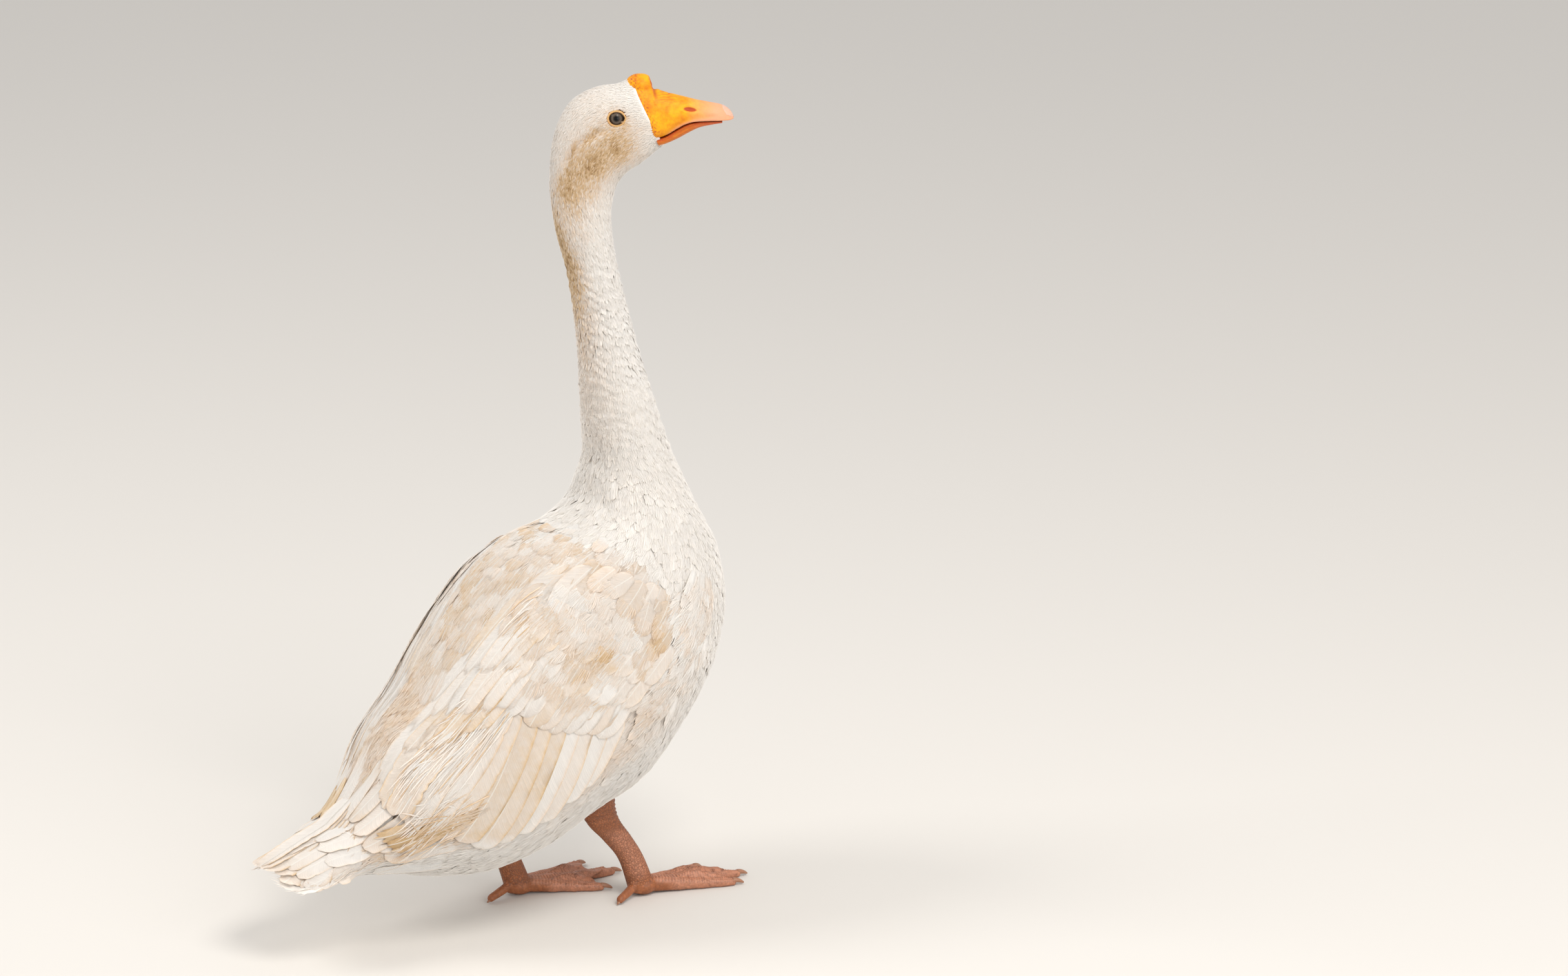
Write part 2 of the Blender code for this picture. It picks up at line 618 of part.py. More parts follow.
def make_claws(name, placed, materials, collection):
    """A claw in front of each toe, and the hind toe, which reaches the floor behind the heel."""
    for toe, (toe_angle, toe_length) in TOES[name].items():
        ahead, out = math.cos(math.radians(toe_angle)), math.sin(math.radians(toe_angle))
        root, tip = toe_length + 3 * GAP, toe_length + CLAW_LENGTH
        start = placed(root * ahead, root * out, CLAW_RADIUS + 0.8)
        end = placed(tip * ahead, tip * out, 1.3)
        tapered(f"claw_{name}_{toe}", start, end, CLAW_RADIUS, 0.3, materials["horn_claw"], collection)
    turn = math.radians(HIND_TOE_TURN[name])
    ahead, out = -math.cos(turn), math.sin(turn)
    start = placed(HIND_TOE_ROOT * ahead, HIND_TOE_ROOT * out, 8.0)
    end = placed(HIND_TOE_REACH * ahead, HIND_TOE_REACH * out, 1.0)
    tapered(f"hind_toe_{name}", start, end, HIND_TOE_RADIUS, 0.0, materials["orange_leg"], collection)


# ---------------------------------------------------------------- the whole bird


def stand_on_origin(collection):
    """Moves the bird by one parent so that the middle of its box is over the origin."""
    bpy.context.view_layer.update()
    graph = bpy.context.evaluated_depsgraph_get()
    corners = np.array(
        [tuple(corner) for piece in collection.objects for corner in piece.evaluated_get(graph).bound_box]
    )
    middle = (corners.min(axis=0) + corners.max(axis=0)) / 2
    stand = bpy.data.objects.new("goose_placement", None)
    bpy.context.scene.collection.objects.link(stand)
    for group in bpy.data.collections:
        for piece in group.objects:
            piece.parent = stand
    stand.location = (-middle[0], -middle[1], 0.0)


def build():
    clear_scene()
    materials = {name: make_material(name, *look) for name, look in COLOURS.items()}
    bird, cutters = make_collection("domestic_goose"), make_collection("cutters")
    feather = materials["white_feather"]

    make_tail(feather, bird)
    trunk = envelope_length("trunk", TAIL_ROOT, TRUNK_TOP, 20, 28, feather, bird)
    envelope_length("neck_lower", TRUNK_TOP, NECK_MIDDLE, 7, 22, feather, bird)
    envelope_length("neck_upper", NECK_MIDDLE, NECK_TOP, 7, 22, feather, bird)
    end = len(ENVELOPE[0]) - 1.0
    head = envelope_length("head", NECK_TOP, end + PART_CUT, 15, 24, feather, bird)
    for name, side in (("wing_left", 1.0), ("wing_right", -1.0)):
        make_wing(name, side, trunk, feather, bird, cutters)

    upper = make_bill(materials, bird)
    make_knob(head, upper, materials, bird, cutters)
    make_eyes(head, materials["eye"], bird, cutters)

    for name, foot, side in (("right", RIGHT_FOOT, -1.0), ("left", LEFT_FOOT, 1.0)):
        make_leg(name, foot, trunk, materials["orange_leg"], bird, cutters)
        placed = foot_frame(name, foot, side)
        make_foot(name, foot, placed, materials["orange_leg"], bird, cutters)
        make_claws(name, placed, materials, bird)
    stand_on_origin(bird)


build()
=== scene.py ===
"""A white knobbed domestic goose, life size, standing alert with its head turned to its right.

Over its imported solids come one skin, the plumage, the quills of wings and tail, the bill, eyes and legs.
Places are reckoned on the bird: forward, left and up, in millimetres, from the floor under its right heel.
"""

from math import cos, pi, radians, sin, sqrt

import bpy
import numpy as np
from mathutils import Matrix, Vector
from numpy.random import default_rng


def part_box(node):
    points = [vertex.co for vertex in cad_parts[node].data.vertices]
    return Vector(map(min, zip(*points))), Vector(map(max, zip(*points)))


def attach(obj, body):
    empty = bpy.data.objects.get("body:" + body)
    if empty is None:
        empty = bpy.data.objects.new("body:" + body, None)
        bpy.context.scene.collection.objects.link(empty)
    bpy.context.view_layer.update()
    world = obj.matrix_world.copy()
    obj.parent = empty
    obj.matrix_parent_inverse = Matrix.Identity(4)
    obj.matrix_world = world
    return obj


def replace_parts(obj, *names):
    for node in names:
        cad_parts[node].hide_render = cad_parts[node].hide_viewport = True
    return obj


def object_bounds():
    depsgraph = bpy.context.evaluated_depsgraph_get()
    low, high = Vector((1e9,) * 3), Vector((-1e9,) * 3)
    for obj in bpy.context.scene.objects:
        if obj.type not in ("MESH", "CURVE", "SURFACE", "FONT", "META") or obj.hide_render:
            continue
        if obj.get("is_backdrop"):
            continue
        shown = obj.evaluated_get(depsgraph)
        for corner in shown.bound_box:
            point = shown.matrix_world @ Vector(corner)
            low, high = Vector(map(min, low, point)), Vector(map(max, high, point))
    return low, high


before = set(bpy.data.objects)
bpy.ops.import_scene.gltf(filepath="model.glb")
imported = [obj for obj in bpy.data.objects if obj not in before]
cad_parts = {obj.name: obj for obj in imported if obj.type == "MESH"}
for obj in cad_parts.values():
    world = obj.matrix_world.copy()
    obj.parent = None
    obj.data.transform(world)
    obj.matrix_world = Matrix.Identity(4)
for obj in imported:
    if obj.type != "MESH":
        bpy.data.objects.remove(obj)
cad_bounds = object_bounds()

# ---------------------------------------------------------------- the bird's form
# A goose's body is a deep egg that narrows upwards into the neck and backwards into the tail. Its outer form
# is one smooth envelope through measured sections, and every feather is laid on that form.

MM = 0.001
HEAD_TURN = radians(-33.0)
HEAD_CENTRE = np.array((-36.0, 0.0, 697.0))

# Back's point, belly's point as (forward, up), half the width, squareness of the upper half.
BODY_SECTIONS = [
    ((-340, 76), (-338, 67), 47, 2.0), ((-313, 96), (-309, 68), 41, 2.1),
    ((-286, 118), (-279, 66), 40, 2.2), ((-262, 147), (-243, 61), 52.5, 2.3),
    ((-239, 182), (-198, 51), 71.5, 2.4), ((-206, 214), (-150, 49), 86, 2.5),
    ((-178, 249), (-101, 62), 97.5, 2.55), ((-148, 284), (-56, 84), 103.5, 2.6),
    ((-120, 312), (-8, 105), 105.5, 2.6), ((-90, 330), (32, 145), 102, 2.5),
    ((-59, 341), (67, 192), 92, 2.4), ((-39, 357), (86, 247), 81, 2.3),
    ((-33, 379), (84, 301), 66, 2.15), ((-30, 399), (63, 349), 51, 2.1),
    ((-33, 425), (43, 396), 40, 2.05), ((-36, 458), (27, 444), 33.5, 2.0),
    ((-39, 492), (14, 488), 28, 2.0), ((-43, 526), (3, 529), 25, 2.0),
    ((-50, 563), (-7, 570), 23, 2.0), ((-59, 595), (-12, 605), 23.5, 2.0),
]
NECK_TURNS = {17: 0.12, 18: 0.38, 19: 0.7}
# Nape or crown point, throat or chin point as (ahead of the neck's axis, above the eye), half the width.
HEAD_SECTIONS = [
    ((-28, -68), (25.5, -73), 24.5), ((-28, -50), (29, -60.5), 25),
    ((-27, -33), (34, -53), 25.5), ((-23.5, -15), (40.5, -46.8), 26),
    ((-17.5, 0), (46.5, -43.3), 26), ((-9.2, 12), (52, -39.2), 25.5),
    ((2.5, 20.2), (56.8, -35.6), 24.5), ((15.5, 24.9), (60.5, -32.3), 22.5),
    ((29, 26.7), (64.5, -29), 20), ((44, 27.2), (70, -25.8), 16.8),
]
HEAD_SQUARENESS = 2.1
# The tail behind its root: distance back, height of its ridge, thickness, half width, arch.
TAIL_SECTIONS = [
    (299.0, 112.5, 42.0, 41.0, 6.0), (314.0, 106.5, 29.0, 42.0, 13.0), (329.0, 100.5, 18.0, 40.0, 18.0),
    (343.0, 95.0, 10.0, 33.0, 17.0), (354.0, 91.0, 6.0, 23.0, 11.0), (360.5, 88.5, 4.0, 12.0, 4.0),
    (363.3, 87.3, 2.0, 4.0, 0.5),
]
TAIL_ROOT = 2.0
FACE_END = len(BODY_SECTIONS) + len(HEAD_SECTIONS) - 1.0


def held(value):
    """A value held between nought and one."""
    return np.clip(value, 0, 1)


def hump(distance, reach):
    """A smooth hump of height one: exp(-(distance / reach) squared)."""
    return np.exp(-((distance / reach) ** 2))


def beside(*values):
    """Values side by side, as the last axis of one array."""
    return np.stack(np.broadcast_arrays(*values), axis=-1)


def unit(vectors):
    return vectors / np.maximum(np.linalg.norm(vectors, axis=-1, keepdims=True), 1e-9)


def alike(*values):
    """Values as arrays of numbers of one shape."""
    return np.broadcast_arrays(*(np.asarray(value, float) for value in values))


def grid(first, second):
    """Two rows of values as a grid, the first down and the second across."""
    return np.meshgrid(first, second, indexing="ij")


def smooth_through(values, place):
    """Reads a list at fractional places with a Catmull-Rom spline through its four nearest values."""
    values = np.asarray(values, float)
    flat = values.ndim == 1
    values = values[:, None] if flat else values
    last = len(values) - 1
    place = np.asarray(place, float)
    whole = np.clip(np.floor(place).astype(int), 0, last - 1)
    part = (place - whole)[..., None]
    before, here = values[np.maximum(whole - 1, 0)], values[whole]
    after, beyond = values[whole + 1], values[np.minimum(whole + 2, last)]
    square = (2 * before - 5 * here + 4 * after - beyond) * part**2
    cube = (3 * here - before - 3 * after + beyond) * part**3
    read = 0.5 * (2 * here + (after - before) * part + square + cube)
    return read[..., 0] if flat else read


def turned(offset, angle):
    """(forward, left, up) turned to the left about the vertical."""
    offset = np.asarray(offset, float)
    forward, left, up = (offset[..., k] for k in range(3))
    cosine, sine = cos(angle), sin(angle)
    return beside(forward * cosine - left * sine, forward * sine + left * cosine, up)


def head_point(ahead, above, left=0.0):
    """A point of the head's own upright plane, turned with the head."""
    ahead, above, left = alike(ahead, above, left)
    return HEAD_CENTRE + turned(beside(ahead, left, above), HEAD_TURN)


def in_head(points):
    """The reverse of head_point: (ahead, left, above) of points of the bird."""
    return turned(points - HEAD_CENTRE, -HEAD_TURN)


def envelope_table():
    """One row for each section: middle, half chord from belly to back, sideways vector, squareness."""
    rows = []
    for number, (back, belly, width, square) in enumerate(BODY_SECTIONS):
        angle = HEAD_TURN * NECK_TURNS.get(number, 0.0)
        back, belly = np.array((back[0], 0.0, back[1])), np.array((belly[0], 0.0, belly[1]))
        chord, side = turned((back - belly) / 2, angle), turned((0.0, width, 0.0), angle)
        rows.append((*(back + belly) / 2, *chord, *side, square))
    for back, belly, width in HEAD_SECTIONS:
        back, belly = head_point(*back), head_point(*belly)
        side = turned((0.0, width, 0.0), HEAD_TURN)
        rows.append((*(back + belly) / 2, *(back - belly) / 2, *side, HEAD_SQUARENESS))
    return np.array(rows, float)


ENVELOPE = envelope_table()


def squircle(angle, upper_square, lower_square):
    """A unit superellipse: cosine and sine of the angle, each raised to 2 / squareness, signs kept."""
    up, left = np.cos(angle), np.sin(angle)
    power = 2.0 / np.where(up > 0, upper_square, lower_square)
    return np.sign(up) * np.abs(up) ** power, np.sign(left) * np.abs(left) ** power


# The fold that runs back and down from each eye, by section and angle, and the ruffles across the neck.
EYE_FOLD = (22.0, 23.1, 24.4, 25.3), (0.96, 1.12, 1.32, 1.4)
FOLD_RIDGE, FOLD_DEPTH = 1.0, 2.6
RUFFLE_HEIGHT, RUFFLES_PER_SECTION = 0.42, 24.0
KNOB_HILL = np.array((1.5, -1.0, 6.0))


def form(place, angle):
    """The bird's outer surface: section middle + half chord * cosine + sideways vector * sine, the sections
    read with a spline at place. Angle 0 is the back, positive goes round by the left. A fold runs back and
    down from each eye, soft ruffles cross the neck, and a small hill of feathers stands behind the knob.
    Behind the tail's root the section is an arched fan that widens and thins."""
    place, angle = np.asarray(place, float), np.asarray(angle, float)
    row = smooth_through(ENVELOPE, np.clip(place, TAIL_ROOT, FACE_END))
    up, left = squircle(angle, row[..., 9], 2.0 + 0.25 * (row[..., 9] - 2.0))
    body = row[..., :3] + row[..., 3:6] * up[..., None] + row[..., 6:9] * left[..., None]
    off = (np.abs(angle) - np.interp(place, *EYE_FOLD)) * 25.0
    near = held((place - 21.6) / 0.8) * held((25.5 - place) / 0.7)
    fold = FOLD_RIDGE * hump(off - 4.5, 3.2) - FOLD_DEPTH * hump(off, 2.1)
    ruffled = held((place - 13.2) / 0.8) * held((18.9 - place) / 1.2)
    sway = 2.0 * np.sin(angle * 3 + place * 1.1) + 1.5 * np.sin(angle * 7 - place * 2.3)
    fold = fold * near + RUFFLE_HEIGHT * np.sin(place * RUFFLES_PER_SECTION + sway) * ruffled
    body = body + unit(body - row[..., :3]) * fold[..., None]
    hill = np.exp(-(((place - FACE_END + 0.25) / 0.42) ** 2) - (angle / 0.42) ** 2)
    body = body + hill[..., None] * KNOB_HILL
    behind = np.clip(TAIL_ROOT - place, 0.0, len(TAIL_SECTIONS))
    if not (behind > 0).any():
        return body
    fan = smooth_through(TAIL_SECTIONS, np.clip(behind - 1.0, 0.0, len(TAIL_SECTIONS) - 1.0))
    up, left = squircle(angle, 2.2, 2.05)
    drop = fan[..., 2] * (1 - up) / 2
    ridge = fan[..., 1] - drop - fan[..., 4] * left**2
    tail = beside(-fan[..., 0] + 0.12 * drop, fan[..., 3] * left, ridge)
    return body + (tail - body) * held(behind)[..., None]


def form_frame(place, angle):
    """Point, outward normal, unit vectors tailwards and round to the left, and millimetres per section and
    per radian, all from small steps either way."""
    place, angle = alike(place, angle)
    along = (form(place + 0.02, angle) - form(place - 0.02, angle)) / 0.04
    step = 0.03
    round_ = (form(place, angle + step) - form(place, angle - step)) / (2 * step)
    per_section, per_radian = (np.linalg.norm(v, axis=-1) for v in (along, round_))
    tailwards, leftwards = -unit(along), unit(round_)
    normal = unit(np.cross(leftwards, tailwards))
    return form(place, angle), normal, tailwards, leftwards, per_section, per_radian


# Distance round the body from the middle of the back, tabled so that a girth finds its angle.
GIRTH_PLACES = np.linspace(-4.5, FACE_END, 336)
GIRTH_ANGLES = np.linspace(0.0, pi, 181)
girth_rings = form(*grid(GIRTH_PLACES, GIRTH_ANGLES))
girth_steps = np.linalg.norm(np.diff(girth_rings, axis=1), axis=-1)
GIRTHS = np.concatenate([np.zeros((len(GIRTH_PLACES), 1)), girth_steps.cumsum(axis=1)], axis=1)


def angle_at(place, girth):
    """The angle that lies girth millimetres round from the middle of the back; left positive."""
    place, girth = alike(place, girth)
    row = ((place - GIRTH_PLACES[0]) / (GIRTH_PLACES[1] - GIRTH_PLACES[0])).ravel()
    low = np.clip(np.floor(row).astype(int), 0, len(GIRTH_PLACES) - 2)
    share, around = held(row - low), np.abs(girth).ravel()
    found = np.zeros(low.shape)
    for number in np.unique(low):
        chosen = low == number
        near, far = (np.interp(around[chosen], GIRTHS[k], GIRTH_ANGLES) for k in (number, number + 1))
        found[chosen] = near + (far - near) * share[chosen]
    return np.sign(girth) * found.reshape(place.shape)


def girth_at(place, angle):
    """The reverse of angle_at."""
    place, angle = alike(place, angle)
    row = (place - GIRTH_PLACES[0]) / (GIRTH_PLACES[1] - GIRTH_PLACES[0])
    row = np.clip(row, 0, len(GIRTH_PLACES) - 1.001)
    column = np.clip(np.abs(angle) / GIRTH_ANGLES[1], 0, len(GIRTH_ANGLES) - 1.001)
    i, j = row.astype(int), column.astype(int)
    a, b = row - i, column - j
    read = (GIRTHS[i, j] * (1 - b) + GIRTHS[i, j + 1] * b) * (1 - a)
    read += (GIRTHS[i + 1, j] * (1 - b) + GIRTHS[i + 1, j + 1] * b) * a
    return np.sign(angle) * read


# The form is brought to the frame by the middle of the knob.
KNOB_CENTRE = (48.6, 26.1)
knob_forward, knob_left, knob_up = head_point(*KNOB_CENTRE)
PLACEMENT = np.mean(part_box("knob"), axis=0) - np.array((knob_left, -knob_forward, knob_up)) * MM
PLACEMENT[2] = 0.0


def to_world(points):
    """(forward, left, up) in millimetres to metres in the frame, where the bird faces -Y."""
    points = np.asarray(points, float)
    return beside(points[..., 1], -points[..., 0], points[..., 2]) * MM + PLACEMENT



def to_bird(points):
    """The reverse of to_world."""
    offset = (points - PLACEMENT) / MM
    return beside(-offset[..., 1], offset[..., 0], offset[..., 2])

# ---------------------------------------------------------------- floor, light and camera
# A pale matt floor under a soft studio sky: one broad lamp high on the bird's right, a weaker one behind,
# and a long lens at the height of a standing person's chest.

CAMERA_TURN, CAMERA_RISE, CAMERA_DISTANCE = radians(33.0), radians(16.0), 4500.0
VIEW_WIDTH, FILM_WIDTH = 1360.8, 36.0
AIMED_AT = 140.6, 349.5, -93.7


def linked(name, data):
    """A new object of the scene."""
    made = bpy.data.objects.new(name, data)
    bpy.context.scene.collection.objects.link(made)
    return made


def aim(item, eye, target):
    """Places a lamp or the camera at eye, looking at target, both in metres."""
    item.location = Vector(eye)
    item.rotation_euler = (Vector(target) - Vector(eye)).to_track_quat("-Z", "Y").to_euler()


cosine, sine = cos(CAMERA_TURN), sin(CAMERA_TURN)
right = np.array((cosine, -sine, 0.0))
ahead = np.array((sine * cos(CAMERA_RISE), cosine * cos(CAMERA_RISE), -sin(CAMERA_RISE)))
aimed_at = AIMED_AT[0] * right + AIMED_AT[1] * np.cross(right, ahead) + AIMED_AT[2] * ahead
lens = bpy.data.cameras.new("camera")
lens.sensor_width, lens.clip_end = FILM_WIDTH, 60.0
lens.lens = FILM_WIDTH * CAMERA_DISTANCE / VIEW_WIDTH
camera = linked("camera", lens)
aim(camera, to_world(aimed_at - CAMERA_DISTANCE * ahead), to_world(aimed_at))
bpy.context.scene.camera = camera


def lamp(name, place, size, power, colour):
    """A round soft lamp that looks at the middle of the bird; its place in metres."""
    light = bpy.data.lights.new(name, "AREA")
    light.shape, light.size, light.energy, light.color = "DISK", size, power, colour
    aim(linked(name, light), place, MIDDLE)


MIDDLE = (0.0, 0.0, 0.32)
lamp("key", (-2.1, 0.0, 3.2), 1.6, 64.0, (1.0, 0.955, 0.9))
lamp("fill", (-3.0, -0.2, 1.3), 2.2, 30.0, (1.0, 0.97, 0.95))
lamp("back", (1.2, 2.0, 2.8), 1.6, 40.0, (1.0, 0.97, 0.93))
sky = bpy.data.worlds.new("sky")
sky.use_nodes = True
sky_light = sky.node_tree.nodes["Background"]
sky_light.inputs["Color"].default_value = (0.95, 0.935, 0.92, 1.0)
sky_light.inputs["Strength"].default_value = 0.76
bpy.context.scene.world = sky
bpy.context.scene.view_settings.view_transform = "Standard"


def new_paint(name, **values):
    """A material with plain values on its Principled sockets, each named with _ for a space. Gives the
    material, its node tree and the shader's inputs."""
    paint = bpy.data.materials.new(name)
    paint.use_nodes = True
    sockets = paint.node_tree.nodes["Principled BSDF"].inputs
    for socket, value in values.items():
        sockets[socket.replace("_", " ")].default_value = value
    return paint, paint.node_tree, sockets


floor_mesh = bpy.data.meshes.new("floor")
floor_mesh.from_pydata([(-20, -20, 0), (20, -20, 0), (20, 20, 0), (-20, 20, 0)], [], [(0, 1, 2, 3)])
floor = linked("floor", floor_mesh)
floor_paint, *_ = new_paint("matt_floor", Base_Color=(0.7, 0.68, 0.65, 1.0), Roughness=0.85)
floor_mesh.materials.append(floor_paint)
floor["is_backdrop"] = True

# ---------------------------------------------------------------- plumage paint
# Domestic white feathers are never pure white: they are cream over the back and wings, stained tan by earth
# and water on the nape, cheeks and feather edges, and each feather differs a little from its neighbour.


def node(tree, kind, output, inputs=None, **settings):
    """Adds one shader node, sets its fields and its plain input values, joins the given links, and gives
    the named output. A colour may be given as three numbers."""
    made = tree.nodes.new("ShaderNode" + kind)
    for name, value in settings.items():
        setattr(made, name, value)
    for name, value in (inputs or {}).items():
        socket = made.inputs[name]
        if isinstance(value, bpy.types.NodeSocket):
            tree.links.new(value, socket)
        else:
            socket.default_value = (*value, 1.0) if socket.type == "RGBA" else value
    return made.outputs[output]


def noise(tree, scale, detail, roughness=0.5, vector=None, output="Fac"):
    """Noise over the piece's own coordinates, or over vector."""
    vector = vector or node(tree, "TexCoord", "Object")
    inputs = {"Vector": vector, "Scale": scale, "Detail": detail, "Roughness": roughness}
    return node(tree, "TexNoise", output, inputs)


def spread(tree, value, low, high, to_low=0.0, to_high=1.0):
    """Carries a value from low..high to to_low..to_high, and holds it there."""
    inputs = {"Value": value, "From Min": low, "From Max": high, "To Min": to_low, "To Max": to_high}
    return node(tree, "MapRange", "Result", inputs)


def maths(tree, operation, *values, **settings):
    """One operation on numbers."""
    return node(tree, "Math", 0, dict(enumerate(values)), operation=operation, **settings)


def brightened(tree, colour, factor):
    """colour * factor."""
    return node(tree, "VectorMath", 0, {0: colour, "Scale": factor}, operation="SCALE")


def blend(tree, factor, first, second):
    """first * (1 - factor) + second * factor, for colours."""
    return node(tree, "Mix", "Result", {"Factor": factor, "A": first, "B": second}, data_type="RGBA")


def field_of(tree, name, output="Fac"):
    """An attribute of the piece."""
    return node(tree, "Attribute", output, attribute_name=name)


def ridged(tree, sockets, height, strength, distance):
    """Fine relief in the shading: a height carried to the shader's normal."""
    inputs = {"Height": height, "Strength": strength, "Distance": distance}
    tree.links.new(node(tree, "Bump", "Normal", inputs), sockets["Normal"])


def colour_ramp(tree, value, stops):
    """Reads a value through a row of (place, colour) stops, straight between them."""
    made = node(tree, "ValToRGB", "Color", {"Fac": value})
    ramp = made.node.color_ramp
    first, *between, last = stops
    for element, (place, colour) in zip(ramp.elements, (first, last), strict=True):
        element.position, element.color = place, (*colour, 1.0)
    for place, colour in between:
        ramp.elements.new(place).color = (*colour, 1.0)
    return made


# Feather colour by how stained it is: clean white, cream, tan, brown, dark earth.
STAIN_COLOURS = [
    (0.0, (0.9, 0.875, 0.83)), (0.22, (0.84, 0.715, 0.6)),
    (0.45, (0.74, 0.515, 0.3)), (0.72, (0.47, 0.285, 0.125)),
    (1.0, (0.2, 0.085, 0.03)),
]
feather_colours = bpy.data.node_groups.new("feather_colours", "ShaderNodeTree")
for socket, usual in (("Stain", 0.0), ("Tone", 0.5)):
    feather_colours.interface.new_socket(
        socket, in_out="INPUT", socket_type="NodeSocketFloat"
    ).default_value = usual
feather_colours.interface.new_socket("Color", in_out="OUTPUT", socket_type="NodeSocketColor")
given = feather_colours.nodes.new("NodeGroupInput").outputs
clouds, grime = noise(feather_colours, 26.0, 3.0, 0.6), noise(feather_colours, 160.0, 2.0, 0.7)
uneven = spread(feather_colours, maths(feather_colours, "MULTIPLY", clouds, grime), 0.12, 0.42, 0.78, 1.18)
soiled = maths(feather_colours, "MULTIPLY", given["Stain"], uneven)
shade = colour_ramp(feather_colours, soiled, STAIN_COLOURS)
toned = brightened(feather_colours, shade, spread(feather_colours, given["Tone"], 0.0, 1.0, 0.93, 1.04))
feather_colours.links.new(toned, feather_colours.nodes.new("NodeGroupOutput").inputs["Color"])


def feather_paint(name, roughness, barbs=0.0):
    """Feather material: colour from the shared group by the piece's stain and tone; barbs adds slanting
    ridges, silky streaks and a pale shaft on the piece's vane map."""
    paint, tree, sockets = new_paint(
        name, Roughness=roughness, Specular_IOR_Level=0.25, Subsurface_Weight=0.4,
        Subsurface_Radius=(1.0, 0.9, 0.8), Subsurface_Scale=0.004, Sheen_Weight=0.15, Sheen_Roughness=0.4,
    )
    parts = {"Stain": field_of(tree, "stain"), "Tone": field_of(tree, "tone")}
    colour = node(tree, "Group", "Color", parts, node_tree=feather_colours)
    if barbs:
        vane_map = node(tree, "UVMap", "UV", uv_map="vane")
        vane = node(tree, "SeparateXYZ", "X", {"Vector": vane_map}).node.outputs
        aside = maths(tree, "ABSOLUTE", vane["X"])
        slant = maths(tree, "MULTIPLY_ADD", aside, -1.1, vane["Y"])
        ridge = maths(tree, "SINE", maths(tree, "MULTIPLY", slant, 9800.0))
        laid = node(tree, "CombineXYZ", 0, {"X": slant, "Y": vane["X"]})
        laid = node(tree, "Mapping", 0, {"Vector": laid, "Scale": (900.0, 40.0, 1.0)})
        streaks = noise(tree, 1.0, 2.0, vector=laid)
        ridged(tree, sockets, maths(tree, "MULTIPLY_ADD", ridge, 0.25, streaks), barbs, 0.0006)
        silky = brightened(tree, colour, spread(tree, streaks, 0.3, 0.7, 0.9, 1.05))
        colour = blend(tree, spread(tree, aside, 0.0002, 0.0007, 0.7, 0.0), silky, (0.93, 0.88, 0.8))
    tree.links.new(colour, sockets["Base Color"])
    return paint


down_paint = feather_paint("body_plumes", 0.8)
quill_paint = feather_paint("vaned_quills", 0.6, barbs=0.42)

# Stains as (section, girth, reach along in sections, reach round in mm, strength).
STAINS = [
    (8.05, 87, 0.42, 15, -0.26), (8.56, 140, 0.26, 12, -0.24), (7.74, 156, 0.22, 14, -0.18),
    (6.59, 72, 0.3, 10, -0.18), (8.02, 138, 0.17, 10, 0.34), (9.08, 156, 0.25, 8, 0.14),
    (6.3, 98, 0.24, 11, 0.18), (6.87, 31, 0.45, 9, 0.12), (7.6, 20, 0.3, 8, 0.06),
    (5.00, 70, 0.6, 13, 0.08), (4.31, 119, 0.2, 12, 0.16), (2.67, 55, 0.35, 16, 0.14),
    (3.4, 84, 0.3, 14, 0.1), (2.25, 20, 0.18, 8, 0.12), (3.45, 13, 0.4, 4, 0.3),
    (9.5, 20, 0.3, 14, 0.05), (-3.2, 0, 1.6, 60, 0.1), (7.9, 225, 1.0, 14, 0.16),
    (9.1, 200, 0.8, 12, 0.12),
]
# Where the cream of back and wings gives way to the white of neck, breast and belly: section, girth.
CREAM_EDGE = [
    (9.6, 0), (9.5, 30), (10.37, 59), (10.47, 95), (10.25, 127), (9.92, 150), (9.33, 172), (8.66, 192),
]
CREAM_FOOT = [
    (-2.0, 60), (2.0, 60), (4.0, 130), (5.5, 190), (7.07, 212), (7.86, 201), (8.66, 192), (9.4, 176),
]
# Stains of the head and neck, and two narrow dark lines in the eye fold's groove (at 24.3 and 23.0), as
# (section, angle, reach in sections, reach in radians, strength).
FACE_STAINS = [
    (23.2, 1.75, 0.9, 0.32, 0.19), (22.39, 1.5, 0.9, 0.36, 0.22), (21.58, 1.14, 0.9, 0.32, 0.22),
    (20.78, 0.95, 0.9, 0.45, 0.24), (20.2, 1.33, 0.9, 0.35, 0.22), (20.95, 1.8, 0.8, 0.4, 0.2),
    (18.9, 0.37, 1.3, 0.5, 0.32), (18.1, 0.05, 1.6, 0.6, 0.22), (16.5, 0.00, 2.4, 0.8, 0.12),
    (24.3, 1.32, 0.8, 0.1, 0.24), (23.00, 1.1, 0.8, 0.1, 0.26), (24.6, 2.00, 1.5, 0.5, 0.2),
    (27.3, 1.42, 0.6, 0.26, 0.24), (28.3, 1.8, 0.5, 0.2, 0.06), (25.8, 1.8, 2.2, 0.55, 0.22),
    (22.6, 1.9, 1.2, 0.5, 0.12),
]


